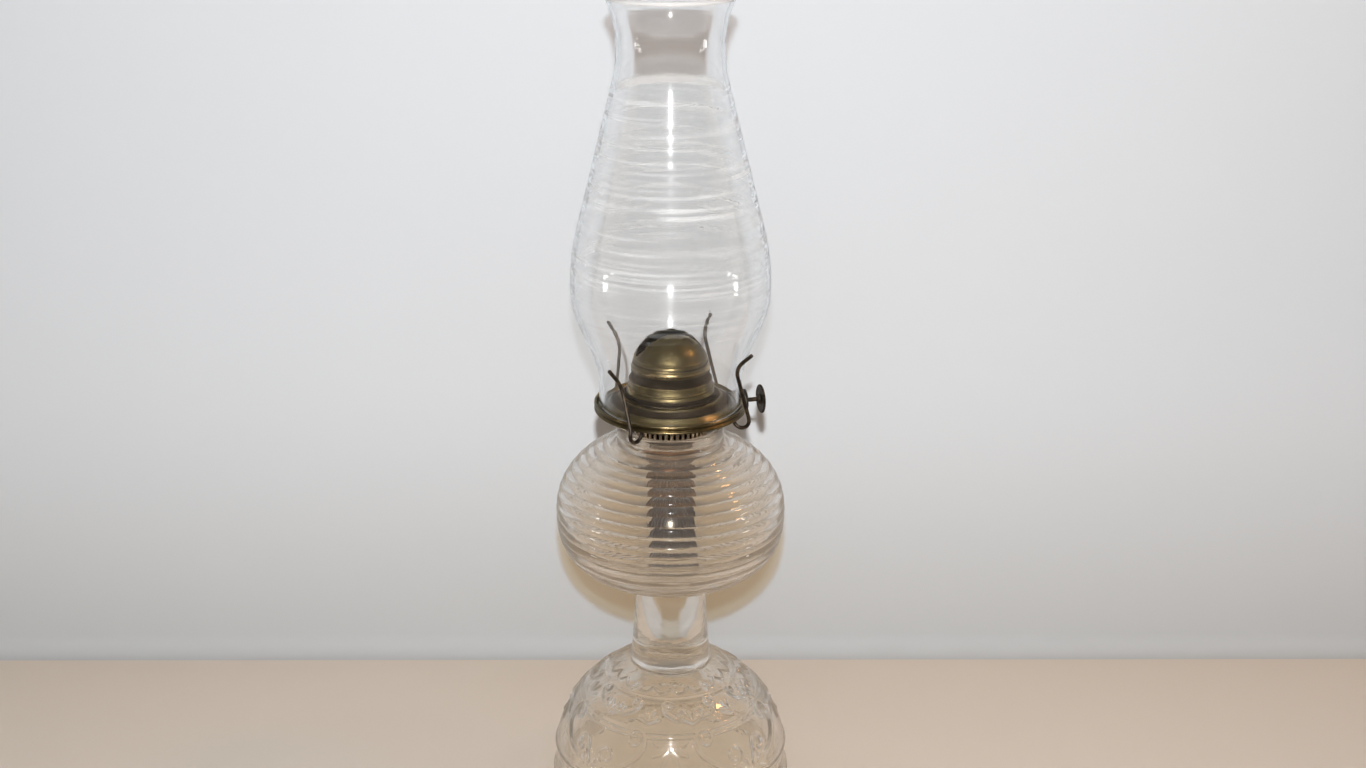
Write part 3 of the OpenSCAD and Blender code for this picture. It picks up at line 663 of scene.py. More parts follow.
def rounded(path, radius, steps=4):
    """The path with each inner corner rounded off."""
    points = [Vector(p) for p in path]
    made = [path[0]]
    for before, corner, after in zip(points, points[1:], points[2:]):
        back, ahead = before - corner, after - corner
        cut = min(radius, back.length * 0.45, ahead.length * 0.45)
        start, end = corner + back.normalized() * cut, corner + ahead.normalized() * cut
        for i in range(steps + 1):
            t = i / steps
            made.append(tuple(start * (1 - t) ** 2 + corner * (2 * t * (1 - t)) + end * t ** 2))
    made.append(path[-1])
    return made


class Stroke:
    """Raised strokes of one kind on the foot: points on its surface, each with a half-width."""

    def __init__(self, surface):
        self.surface, self.points, self.widths = surface, [], []

    def draw(self, turns, places, widths):
        for a, s, w in zip(turns, places, widths):
            self.points.append(self.surface(a, s))
            self.widths.append(w)

    def height(self, points):
        """Share of full height at each point: a round ridge along the nearest stroke."""
        tree = kdtree.KDTree(len(self.points))
        for i, p in enumerate(self.points):
            tree.insert(p, i)
        tree.balance()
        made = np.zeros(len(points))
        for i, p in enumerate(points):
            _, index, distance = tree.find(p)
            x = distance / self.widths[index]
            if x < 1:
                made[i] = (1 - x * x) ** 1.5
        return made


def scroll(length, coil, samples):
    """Double scroll whose bend grows steadily from its middle to both ends, as (along, up) points."""
    t = np.linspace(-1, 1, samples)
    heading = coil * t * abs(t)
    step = length / samples
    path = np.cumsum(np.stack([np.cos(heading), np.sin(heading)], 1) * step, axis=0)
    return path - path[samples // 2]


def turned(path, angle):
    c, s = math.cos(angle), math.sin(angle)
    return path @ np.array([[c, s], [-s, c]])


def foot_relief(piece, g, dome, first_place, last_place):
    """Raises scrolls, sprays of leaves and beads on the foot's dome."""
    path, normals, places = resampled(dome, 400)

    def on_dome(turn_angle, place):
        r, z = (np.interp(place, places, path[:, i]) for i in (0, 1))
        return Vector((r * math.cos(turn_angle), r * math.sin(turn_angle), z))

    def radius_at(place):
        return np.interp(place, places, path[:, 0])

    def place_of(part):
        return np.interp(-dome[0][0] * part, -path[:, 0], places)

    lower_bead, upper_bead = place_of(0.772), place_of(0.555)
    scrolls, leaves, beads = Stroke(on_dome), Stroke(on_dome), Stroke(on_dome)
    middle = lower_bead * 0.52
    for k in range(g.scroll_sectors):
        centre = 2 * math.pi * (k + 0.5) / g.scroll_sectors
        side = 1 if k % 2 else -1
        path_s = turned(scroll(88 * MM, 7.4, 260), math.radians(38)) * (side, 1)
        width = np.interp(np.linspace(-1, 1, 260), [-1, 0, 1], [1.2 * MM, 2.1 * MM, 1.2 * MM])
        where = middle + path_s[:, 1]
        scrolls.draw(centre + path_s[:, 0] / radius_at(middle), where, width)
        edge = 2 * math.pi * k / g.scroll_sectors
        for lean in (-64, -38, -14, 14, 38, 64):
            reach = np.linspace(0, 1, 40)
            blade = (15.5 - abs(lean) * 0.075) * MM * reach
            bend = math.radians(lean) * (1 + 0.45 * reach)
            root = middle - 12.5 * MM if k % 2 else middle + 12.5 * MM
            up = 1 if k % 2 else -1
            leaves.draw(edge + blade * np.sin(bend) / radius_at(middle), root + up * blade * np.cos(bend),
                        (0.7 + 1.7 * np.sin(np.pi * reach ** 0.8)) * MM)
    gap = (lower_bead + upper_bead) / 2
    for k in range(g.leaf_sectors):
        centre = 2 * math.pi * k / g.leaf_sectors
        side = 1 if k % 2 else -1
        small = turned(scroll(36 * MM, 6.6, 160), math.radians(-35)) * (side, 1)
        scrolls.draw(centre + small[:, 0] / radius_at(gap), gap + small[:, 1], np.full(160, 1.15 * MM))
        for lean in (-48, -16, 16, 48):
            reach = np.linspace(0, 1, 24)
            blade = 6.5 * MM * reach
            bend = math.radians(lean) * (1 + 0.4 * reach)
            leaves.draw(centre + math.pi / g.leaf_sectors + blade * np.sin(bend) / radius_at(gap),
                        gap - 4.6 * MM + blade * np.cos(bend) * 1.3, (0.5 + 1.0 * np.sin(np.pi * reach)) * MM)
    rings = np.linspace(0, 2 * math.pi, 900)
    for place, width in ((lower_bead, 1.5), (upper_bead, 1.4), (lower_bead - 2.6 * MM, 0.8), (3.0 * MM, 1.1)):
        beads.draw(rings, np.full(900, place), np.full(900, width * MM))
    loops = 20
    crest = (upper_bead + last_place) / 2
    beads.draw(rings, crest + 2.1 * MM * (1 - 2 * abs(np.sin(rings * loops / 2))), np.full(900, 0.8 * MM))
    points = points_of(piece)
    heights = np.maximum.reduce([scrolls.height(points), leaves.height(points) * 0.85, beads.height(points) * 0.8])
    turns = np.arctan2(points[:, 1], points[:, 0])
    order = np.argsort(path[:, 1])
    normal_r = np.interp(points[:, 2], path[order, 1], normals[order, 0])
    normal_z = np.interp(points[:, 2], path[order, 1], normals[order, 1])
    length = np.hypot(normal_r, normal_z)
    push = (heights * g.relief_height / length)[:, None]
    points += push * np.stack([normal_r * np.cos(turns), normal_r * np.sin(turns), normal_z], 1)
    set_points(piece, points)


class LAMP_OT_glass_body(bpy.types.Operator):
    """Foot, stem and font in one piece of pressed glass"""
    bl_idname = "lamp.glass_body"
    bl_label = "Glass body"

    def execute(self, context):
        g = sizes("glass")
        dome_end = g.ring_radius + g.ring_height / 2
        dome = moved(bow(g.dome_radius, g.dome_height, g.dome_power, dome_end, 160), g.dome_foot)
        ring_z = g.dome_foot + bow_height(g.ring_radius / g.dome_radius, g.dome_power) * g.dome_height
        hollow_height = g.dome_height - g.foot_wall * 1.28
        hollow_radius = g.dome_radius - g.foot_wall
        hollow = moved(bow(hollow_radius, hollow_height, g.dome_power, 4 * MM, 26), g.dome_foot)
        edge, chamfer = g.flange_edge, 0.6 * MM
        under = [(0, g.dome_foot + hollow_height)] + hollow[::-1]
        under += [(hollow_radius, g.dome_foot * part) for part in (0.7, 0.4)]
        under += [(hollow_radius, chamfer), (hollow_radius + chamfer, 0)]
        under += arc((g.flange_radius - edge, edge), edge, -90, 0, 5)
        under += arc((g.flange_radius - edge, g.flange_height - edge), edge, 0, 70, 5)
        under += [(g.groove_radius + 0.25 * MM, g.groove_height - 1.6 * MM), (g.groove_radius, g.groove_height),
                  (g.groove_radius + 0.2 * MM, g.groove_height + 2 * MM)]
        lower = lathe("glass_body", under, g.columns, closed=False)
        rows, _, places = resampled(dome, g.relief_rows, 0.004, 0.99)
        middle = lathe("relief", [tuple(p) for p in rows], g.relief_columns, closed=False)
        foot_relief(middle, g, dome, places[0], places[-1])
        upper = lathe("font", self.upper_outline(g, ring_z), g.columns, closed=False)
        pick(lower)
        middle.select_set(True)
        upper.select_set(True)
        bpy.ops.object.join()
        self.bridge(lower, rows[0][1], g.groove_height + 2 * MM)
        self.bridge(lower, rows[-1][1], ring_z)
        tidy_mesh(lower, 50)
        finish_piece(lower, "body_glass", "lamp_base", "clear_glass", "pedestal", "font")
        return {"FINISHED"}

    def upper_outline(self, g, ring_z):
        """Ring, stem, ribbed font, neck and reservoir, from the foot's dome to the font's floor."""
        stem_top = ring_z + g.stem_height
        joint, fillet = g.stem_radius + 1.5 * MM, 6 * MM
        root = g.ring_radius - 0.6 * MM
        path = arc((g.ring_radius - g.ring_height / 2, ring_z + g.ring_height / 2), g.ring_height / 2, -60, 90, 8)
        stem_from, stem_to = ring_z + g.ring_height, stem_top - fillet
        for i in range(19):
            s = i / 18
            path.append((g.stem_radius + (root - g.stem_radius) * (1 - s) ** 2, stem_from + (stem_to - stem_from) * s))
        for i in range(1, 6):
            a = math.radians(90 * i / 5)
            path.append((g.stem_radius + (joint - g.stem_radius) * (1 - math.cos(a)), stem_to + fillet * math.sin(a)))
        body = g.font_radius - g.rib_depth
        below = [(r, -z) for r, z in bow(body, g.font_down, g.power_down, joint, 80)][::-1]
        above = bow(body, g.font_up, g.power_up, g.neck_radius, 80)
        font_mid = stem_top + bow_height(joint / body, g.power_down) * g.font_down
        outside = below + above[1:]
        length = sum(math.dist(a, b) for a, b in zip(outside, outside[1:]))
        margin = 3 * MM / length
        ribs = round((length - 6 * MM) / g.rib_pitch)
        per_rib = 8
        points, normals, _ = resampled(outside, ribs * per_rib, margin, 1 - margin)
        for i, (p, n) in enumerate(zip(points, normals)):
            path.append(tuple(p + (0, font_mid) + n * g.rib_depth * abs(math.sin(math.pi * i / per_rib)) ** 0.8))
        neck_foot = font_mid + bow_height(g.neck_radius / body, g.power_up) * g.font_up
        web_top = neck_foot + g.web
        neck_top = web_top + g.neck_cup
        inner = g.neck_radius - g.neck_wall
        edge = 1.2 * MM
        path += [(g.neck_radius, neck_foot + 0.4 * MM), (g.neck_radius, neck_foot + 4 * MM)]
        path += arc((g.neck_radius - edge, neck_top - edge), edge, 0, 90, 5)
        path += arc((inner + edge, neck_top - edge), edge, 90, 180, 5)
        path += arc((inner - 2 * MM, web_top + 2 * MM), 2 * MM, 0, -90, 5)
        path += [(g.throat_radius + 0.4 * MM, web_top), (g.throat_radius, web_top - 0.4 * MM)]
        cavity = body - g.font_wall
        roof = moved(bow(cavity, g.font_up - g.font_wall, g.power_up, g.throat_radius, 30), font_mid)
        floor_z = font_mid - g.font_down + g.font_floor
        floor = [(r, font_mid - z) for r, z in bow(cavity, font_mid - floor_z, g.power_down, 4 * MM, 30)]
        return path + roof[::-1] + floor[1:] + [(0, floor_z)]

    def bridge(self, piece, low, high):
        """Joins the two open rings at those heights."""
        edit(piece, "DESELECT")
        bpy.ops.mesh.select_mode(type="EDGE")
        bpy.ops.mesh.select_non_manifold(extend=False, use_wire=False, use_multi_face=False, use_non_contiguous=False,
                                         use_verts=False)
        bpy.ops.object.mode_set(mode="OBJECT")
        near = [low, high]
        heights = [piece.data.vertices[e.vertices[0]].co.z for e in piece.data.edges if e.select]
        levels = sorted({round(z, 6) for z in heights})
        wanted = {min(levels, key=lambda z, n=n: abs(z - n)) for n in near}
        if len(wanted) < 2:
            wanted = set(sorted(levels, key=lambda z: abs(z - sum(near) / 2))[:2])
        for e in piece.data.edges:
            e.select = e.select and round(piece.data.vertices[e.vertices[0]].co.z, 6) in wanted
        bpy.ops.object.mode_set(mode="EDIT")
        bpy.ops.mesh.bridge_edge_loops()
        bpy.ops.object.mode_set(mode="OBJECT")
        bpy.ops.object.mode_set(mode="EDIT")
        bpy.ops.mesh.select_mode(type="VERT")
        bpy.ops.object.mode_set(mode="OBJECT")


class LAMP_OT_chimney(bpy.types.Operator):
    """Clear blown chimney with a bulge, a waist and a flared lip"""
    bl_idname = "lamp.chimney"
    bl_label = "Chimney"

    def execute(self, context):
        c = sizes("chimney")
        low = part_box("chimney")[0].z
        outside = [(c.foot_radius, 1.2 * MM), (c.foot_radius, c.foot_height - 2.5 * MM)]
        for i in range(41):
            s = i / 40
            outside.append((c.foot_radius + (c.bulge_radius - c.foot_radius) * math.sin(math.pi / 2 * s ** c.swell_power),
                            c.foot_height + (c.bulge_height - c.foot_height) * s))
        part = np.linspace(0, 1, 91)
        low_ease, high_ease = np.clip(part / c.ease_low, 0, 1), np.clip((1 - part) / c.ease_high, 0, 1)
        slope = low_ease ** 2 * (3 - 2 * low_ease) * high_ease ** 2 * (3 - 2 * high_ease)
        fall = np.concatenate([[0], np.cumsum(slope[1:] + slope[:-1])])
        for s, drop in zip(part[1:], fall[1:] / fall[-1]):
            outside.append((c.bulge_radius - (c.bulge_radius - c.waist_radius) * drop,
                            c.bulge_height + (c.waist_height - c.bulge_height) * s))
        for i in range(1, 15):
            s = i / 14
            outside.append((c.waist_radius + (c.lip_radius - c.waist_radius) * s ** c.flare_power,
                            c.waist_height + (c.height - c.waist_height - c.wall / 2 - 0.2 * MM) * s))
        points, normals, places = resampled(outside, 220)
        waves = np.sin(places * 2 * math.pi / (6.7 * MM)) + 0.6 * np.sin(places * 2 * math.pi / (11 * MM) + 1)
        calm = np.clip((points[:, 1] - c.bulge_height) / (20 * MM), 0, 1)
        calm *= np.clip((c.waist_height - points[:, 1]) / (10 * MM), 0, 1)
        points = points - normals * (c.wave * (1.6 + waves) * calm)[:, None]
        inner = points - normals * c.wall
        end, bead = points[-1] - normals[-1] * c.wall / 2, c.wall / 2
        along = math.degrees(math.atan2(normals[-1][1], normals[-1][0]))
        path = [tuple(p) for p in points[:-1]]
        path += arc(end, bead, along, along + 180, 8)
        path += [tuple(p) for p in inner[::-1][1:-1]]
        foot = (c.foot_radius - c.wall / 2, c.wall / 2)
        path += arc(foot, c.wall / 2, 180, 360, 8)[:-1]
        piece = lathe("chimney_glass", moved(path, low), c.columns)
        tidy_mesh(piece, 80)
        finish_piece(piece, "chimney_glass", "chimney_glass", "chimney_glass", "chimney")
        return {"FINISHED"}


def cut_out(piece, cutter):
    """Cuts the cutter's shape out of a closed piece, and removes the cutter."""
    pick(piece)
    hole = piece.modifiers.new("hole", "BOOLEAN")
    hole.object, hole.operation, hole.solver = cutter, "DIFFERENCE", "EXACT"
    bpy.ops.object.modifier_apply(modifier=hole.name)
    pick(cutter)
    bpy.ops.object.delete()


def bar(middle, size_xyz, turn_angle, round_ends=False):
    """A cutting bar about a middle point, turned about the upright axis through the origin."""
    select_none()
    if round_ends:
        bpy.ops.mesh.primitive_cylinder_add(vertices=48, radius=size_xyz[1] / 2, depth=size_xyz[2])
        cutter = bpy.context.object
        points = points_of(cutter)
        points[:, 0] += np.sign(points[:, 0]) * (size_xyz[0] - size_xyz[1]) / 2
    else:
        bpy.ops.mesh.primitive_cube_add(size=1)
        cutter = bpy.context.object
        points = points_of(cutter) * size_xyz
    points = points + middle
    c, s = math.cos(turn_angle), math.sin(turn_angle)
    points[:, :2] = points[:, :2] @ np.array([[c, s], [-s, c]])
    set_points(cutter, points)
    return cutter


class LAMP_OT_deck(bpy.types.Operator):
    """Deck of the burner: crown ring, well, chimney seat and rolled rim"""
    bl_idname = "lamp.deck"
    bl_label = "Deck"

    def execute(self, context):
        b = sizes("burner")
        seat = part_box("chimney")[0].z - 0.3 * MM
        top, low = seat + b.seat_depth, seat + b.seat_depth - b.rim_height
        crown = seat + b.crown_rise
        mid = (b.crown_radius + b.seat_radius) / 2
        path = [(b.deck_hole, crown), (b.crown_radius - 1.3 * MM, crown), (b.crown_radius - 0.6 * MM, crown + 0.6 * MM),
                (b.crown_radius + 0.4 * MM, crown + 0.6 * MM), (b.crown_radius + 1.2 * MM, crown - 0.4 * MM),
                (mid, crown - 2.5 * MM), (mid + 1.2 * MM, crown - 2.6 * MM), (b.seat_radius - 1.1 * MM, seat + 0.7 * MM),
                (b.seat_radius, seat), (b.deck_radius - 2.2 * MM, seat)]
        path = rounded(path, 0.8 * MM)
        curl, hem = 0.8 * MM, 0.65 * MM
        path += arc((b.deck_radius - curl, top - curl), curl, 150, -40, 10)
        path += [(b.deck_radius - 0.85 * MM, top - 2.2 * MM), (b.deck_radius - 0.95 * MM, low + 1.9 * MM)]
        path += arc((b.deck_radius - hem, low + hem), hem, 75, -100, 8)
        piece = lathe("deck_plate", sheet_outline(path, -b.sheet * 0.8), b.columns)
        tidy_mesh(piece, 35)
        for angle in (-77, 43, 163):
            spot = (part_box("flame_dome")[1].x - 0.2 * MM, 0, crown)
            cut_out(piece, bar(spot, (1.4 * MM, 7.4 * MM, 4 * MM), math.radians(angle)))
        tidy_mesh(piece, 35)
        mark_proud(piece)
        finish_piece(piece, "deck_brass", "burner", "dark_brass", "deck")
        return {"FINISHED"}


class LAMP_OT_flame_dome(bpy.types.Operator):
    """Flame dome with its skirt, beads, cove, cap and slot"""
    bl_idname = "lamp.flame_dome"
    bl_label = "Flame dome"

    def execute(self, context):
        b = sizes("burner")
        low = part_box("deck")[1].z - 0.6 * MM + 0.05 * MM
        skirt, cap = b.cap_radius + 4.4 * MM, low + 14.1 * MM
        high = b.dome_height - 14.1 * MM
        path = [(skirt - 0.2 * MM, low)]
        path += arc((skirt - 0.7 * MM, low + 0.7 * MM), 0.7 * MM, -60, 100, 8)
        path += [(skirt - 1.9 * MM, low + 1.7 * MM), (skirt - 2.1 * MM, low + 4.6 * MM)]
        path += arc((b.cap_radius + 1.6 * MM, low + 5.9 * MM), 0.75 * MM, -70, 90, 8)
        path += [(b.cap_radius + 1.45 * MM, low + 6.9 * MM), (b.cap_radius + 1.3 * MM, low + 9.2 * MM)]
        path += arc((b.cap_radius + 0.75 * MM, low + 9.9 * MM), 0.6 * MM, -40, 80, 5)
        path += [(b.cap_radius + 0.2 * MM, low + 11.2 * MM), (b.cap_radius - 0.25 * MM, low + 12.6 * MM),
                 (b.cap_radius + 0.05 * MM, low + 14.3 * MM)]
        bowed = bow(b.cap_radius, high, 2, 0.0, 60)
        for r, z in bowed:
            rise = z + cap - low
            if rise < 15 * MM:
                continue
            ridge = sum(amount * math.exp(-((rise - at) / wide) ** 2) for at, wide, amount in
                        ((16.6 * MM, 0.45 * MM, 0.42 * MM), (18.0 * MM, 0.5 * MM, -0.12 * MM),
                         (22.0 * MM, 0.4 * MM, 0.3 * MM)))
            path.append((max(r + ridge, 0) if r > 0 else 0, z + cap))
        piece = lathe("dome_shell", sheet_outline(path, b.sheet), b.columns)
        tidy_mesh(piece, 50)
        slot = (0, 0, cap + 3 * MM + high / 2)
        cut_out(piece, bar(slot, (b.slot_length, b.slot_width, high), b.wick_turn, True))
        tidy_mesh(piece, 35)
        mark_proud(piece)
        finish_piece(piece, "dome_brass", "burner", "dark_brass", "flame_dome")
        return {"FINISHED"}


class LAMP_OT_screw_shell(bpy.types.Operator):
    """Screw shell and collar with their rolled threads"""
    bl_idname = "lamp.screw_shell"
    bl_label = "Screw shell and collar"

    def threaded(self, piece, low, high, reach):
        """Rolls a thread into the upright wall between two heights."""
        b = sizes("burner")
        points = points_of(piece)
        radius = np.hypot(points[:, 0], points[:, 1])
        angle = np.arctan2(points[:, 1], points[:, 0])
        fade = np.clip((points[:, 2] - low) / (1.5 * MM), 0, 1) * np.clip((high - points[:, 2]) / (1.5 * MM), 0, 1)
        fade *= radius < reach
        wave = np.cos(2 * math.pi * points[:, 2] / b.thread_pitch - angle)
        scale = 1 - b.thread_depth * (0.5 - 0.5 * wave) * fade / radius
        points[:, :2] *= scale[:, None]
        set_points(piece, points)

    def execute(self, context):
        b = sizes("burner")
        low, top = (corner.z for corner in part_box("screw_shell"))
        wall = [(b.thread_radius, low + 0.8 * MM + (top - low - 1.4 * MM) * i / 40) for i in range(41)]
        path = [(b.thread_radius - 1.6 * MM, low), (b.thread_radius - 0.5 * MM, low)] + wall
        path += [(b.thread_radius + 0.35 * MM, top - b.sheet + 0.05 * MM), (b.thread_radius + 2.4 * MM, top - b.sheet)]
        shell = lathe("shell_thread", sheet_outline(path, b.sheet), b.columns)
        self.threaded(shell, low + 1 * MM, top - 1.5 * MM, b.thread_radius + 0.3 * MM)
        tidy_mesh(shell, 45)
        mark_proud(shell)
        finish_piece(shell, "brown_brass", "burner", "aged_brass", "screw_shell")
        low, top = (corner.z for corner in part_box("collar"))
        inner, outer = b.thread_radius + 0.3 * MM, b.thread_radius + 1.1 * MM
        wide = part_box("collar")[1].x
        path = arc((outer, low + 0.6 * MM), 0.6 * MM, -90, 90, 6)
        path += [(outer, low + 1.4 * MM + (top - low - 3.4 * MM) * i / 30) for i in range(31)]
        path += [(outer, top - 0.8 * MM), (outer + 1.1 * MM, top - 0.75 * MM), (wide - 0.3 * MM, top - 0.75 * MM)]
        path += [(wide, top - 0.55 * MM), (wide, top - 0.25 * MM), (wide - 0.3 * MM, top), (inner + 0.3 * MM, top)]
        path += [(inner, top - 0.3 * MM)]
        path += [(inner, top - 0.9 * MM - (top - low - 1.8 * MM) * i / 30) for i in range(31)]
        collar = lathe("collar_thread", path, b.columns)
        self.threaded(collar, low + 1.2 * MM, top - 1.2 * MM, outer + 0.05 * MM)
        tidy_mesh(collar, 45)
        mark_proud(collar)
        finish_piece(collar, "brown_brass", "lamp_base", "aged_brass", "collar")
        return {"FINISHED"}


# Each prong's turn about the lamp, twist of its bend, side lean and inward lean, and its finger's length
PRONGS = {
    "front_left": (-114.8, 16.2, 24.5, 16.5, 17.5),
    "front_right": (-21.8, -1.2, 17.1, 8.2, 25.6),
    "back_right": (53.3, 15.2, -13.9, 7.8, 24.7),
    "back_left": (144.8, 31.2, 8.5, 9.5, 21.3),
}


class LAMP_OT_prongs(bpy.types.Operator):
    """Four bent spring wires that hold the chimney"""
    bl_idname = "lamp.prongs"
    bl_label = "Prongs"

    def execute(self, context):
        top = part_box("chimney")[0].z - 0.3 * MM - sizes("burner").sheet - 0.05 * MM
        for name, shape in PRONGS.items():
            piece = self.wire(top, *shape)
            piece.name = piece.data.name = "wire_" + name
            finish_piece(piece, "wire", "burner", "dark_steel", "prong_" + name)
        return {"FINISHED"}

    def wire(self, top, turn_angle, twist, side_lean, lean, length):
        """One wire: a ring of points run down the leg, round under the rim and up along the glass."""
        b = sizes("burner")
        turn_angle, twist, side_lean, lean = (math.radians(a) for a in (turn_angle, twist, side_lean, lean))
        side = Vector((math.cos(turn_angle), math.sin(turn_angle), 0))
        ahead = Vector((0, 0, -1))
        place = side * (b.deck_radius - b.leg_inset) + Vector((0, 0, top))
        select_none()
        bpy.ops.mesh.primitive_circle_add(vertices=16, radius=b.wire_radius, fill_type="NGON", location=place)
        wire = bpy.context.object
        bpy.ops.object.transform_apply(location=True, rotation=True, scale=True)
        bpy.ops.object.mode_set(mode="EDIT")
        bpy.ops.mesh.select_all(action="SELECT")
        runs = [("straight", b.leg_height), ("turn", twist), ("bend", b.bend_radius, math.pi + lean),
                ("turn", twist + math.pi / 2), ("bend", b.side_bend, side_lean), ("turn", -math.pi / 2),
                ("straight", length * MM), ("bend", b.hook_radius, -b.hook_turn), ("straight", b.tip_length)]
        for kind, amount, *angle in runs:
            if kind == "straight":
                bpy.ops.mesh.extrude_region_move(TRANSFORM_OT_translate={"value": ahead * amount})
                place = place + ahead * amount
            elif kind == "turn":
                side = Matrix.Rotation(amount, 3, ahead) @ side
            else:
                toward = side * math.copysign(1, angle[0])
                axis, bend = ahead.cross(toward), abs(angle[0])
                centre = place + toward * amount
                steps = max(4, round(bend / math.radians(9)))
                bpy.ops.mesh.spin(steps=steps, angle=-bend, center=centre, axis=axis)
                swing = Matrix.Rotation(bend, 3, axis)
                place = centre + swing @ (place - centre)
                ahead, side = swing @ ahead, swing @ side
        bpy.ops.mesh.bevel(offset=0.25 * MM, segments=2)
        bpy.ops.object.mode_set(mode="OBJECT")
        tidy_mesh(wire, 60)
        return wire


class LAMP_OT_thumb_wheel(bpy.types.Operator):
    """Notched thumb wheel with a dished face"""
    bl_idname = "lamp.thumb_wheel"
    bl_label = "Thumb wheel"

    def execute(self, context):
        b = sizes("burner")
        r = b.thumb_radius
        path = [(0, 0.85 * MM), (1.5 * MM, 0.8 * MM), (1.9 * MM, 0.45 * MM), (3.4 * MM, 0.1 * MM), (5.4 * MM, 0.1 * MM),
                (r - 1.4 * MM, 0.45 * MM), (r - 0.8 * MM, 0.65 * MM), (r - 0.3 * MM, 0.6 * MM), (r, 0.35 * MM),
                (r, -0.35 * MM), (r - 0.3 * MM, -0.6 * MM), (r - 0.9 * MM, -0.65 * MM), (r - 2 * MM, -0.3 * MM),
                (3.2 * MM, -0.55 * MM), (2.6 * MM, -0.8 * MM), (2.5 * MM, -2.05 * MM), (1.3 * MM, -2.05 * MM),
                (1.3 * MM, -1.9 * MM), (0, -1.9 * MM)]
        piece = lathe("thumb_disc", path, 2 * b.thumb_teeth, closed=False)
        points = points_of(piece)
        radius = np.hypot(points[:, 0], points[:, 1])
        column = np.round(np.arctan2(points[:, 1], points[:, 0]) / (math.pi / b.thumb_teeth)).astype(int)
        notch = (column % 2 == 0) & (radius > r - 0.5 * MM)
        points[notch, :2] *= (1 - 0.42 * MM / radius[notch])[:, None]
        set_points(piece, points)
        low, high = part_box("thumb_wheel")
        middle = (low + high) / 2
        away = Vector((math.cos(b.wick_turn), math.sin(b.wick_turn), 0))
        middle += away * 0.7 * MM
        upright = Matrix((away.cross(Vector((0, 0, 1))), Vector((0, 0, 1)), away)).transposed()
        piece.data.transform(Matrix.Translation(middle) @ upright.to_4x4())
        tidy_mesh(piece, 30)
        mark_proud(piece)
        finish_piece(piece, "wire", "wick_raiser", "dark_brass", "thumb_wheel")
        return {"FINISHED"}


class LAMP_OT_wick(bpy.types.Operator):
    """Flat woven wick with soft selvedges and a frayed lower end"""
    bl_idname = "lamp.wick"
    bl_label = "Wick"

    def execute(self, context):
        b = sizes("burner")
        low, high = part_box("wick")
        width, thick = 25.4 * MM, 3.0 * MM
        select_none()
        bpy.ops.mesh.primitive_cube_add(size=1)
        piece = context.object
        piece.name = piece.data.name = "wick_band"
        points = points_of(piece) * (width, thick, high.z - low.z) + (0, 0, (low.z + high.z) / 2)
        set_points(piece, points)
        edit(piece)
        bpy.ops.mesh.bevel(offset=0.7 * MM, segments=3)
        for axis, number in ((0, 40), (2, 170)):
            for i in range(1, number):
                start, end = (-width / 2, width / 2) if axis == 0 else (low.z, high.z)
                where, normal = [0, 0, 0], [0, 0, 0]
                where[axis], normal[axis] = start + (end - start) * i / number, 1
                bpy.ops.mesh.select_all(action="SELECT")
                bpy.ops.mesh.bisect(plane_co=where, plane_no=normal)
        bpy.ops.object.mode_set(mode="OBJECT")
        points = points_of(piece)
        rng = np.random.default_rng(7)
        tube_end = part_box("screw_shell")[0].z
        hang = np.clip((tube_end - points[:, 2]) / (tube_end - low.z), 0, 1)
        rib = np.cos(points[:, 0] * 2 * math.pi / (1.6 * MM))
        points[:, 1] += np.sign(points[:, 1]) * (rib - 1) * 0.09 * MM
        points[:, 0] += 2.0 * MM * hang ** 2
        points[:, 1] += 0.5 * MM * np.sin(hang * 5) * hang * np.cos(points[:, 0] / width * 2)
        frayed = points[:, 2] < low.z + 0.8 * MM
        points[frayed, 2] += rng.random(frayed.sum()) * 0.9 * MM
        c, s = math.cos(b.wick_turn), math.sin(b.wick_turn)
        points[:, :2] = points[:, :2] @ np.array([[c, s], [-s, c]])
        set_points(piece, points)
        tidy_mesh(piece, 60)
        finish_piece(piece, "cotton", "wick_band", "wick_cotton", "wick")
        return {"FINISHED"}


class LAMP_OT_fittings(bpy.types.Operator):
    """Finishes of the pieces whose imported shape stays"""
    bl_idname = "lamp.fittings"
    bl_label = "Fittings"

    def execute(self, context):
        kept = {
            "dome_brass": ("air_diffuser",),
            "pale_brass": ("basket",),
            "brass": ("tube_plate", "wick_tube", "vent_tube", "wheel_box"),
            "wire": ("shaft_sleeve", "wick_shaft", "wick_wheel_left", "wick_wheel_middle", "wick_wheel_right"),
            "plaster": ("plaster_ring",),
        }
        for finish, names in kept.items():
            for name in names:
                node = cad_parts[name]
                node.data.materials.clear()
                node.data.materials.append(material(finish))
        return {"FINISHED"}


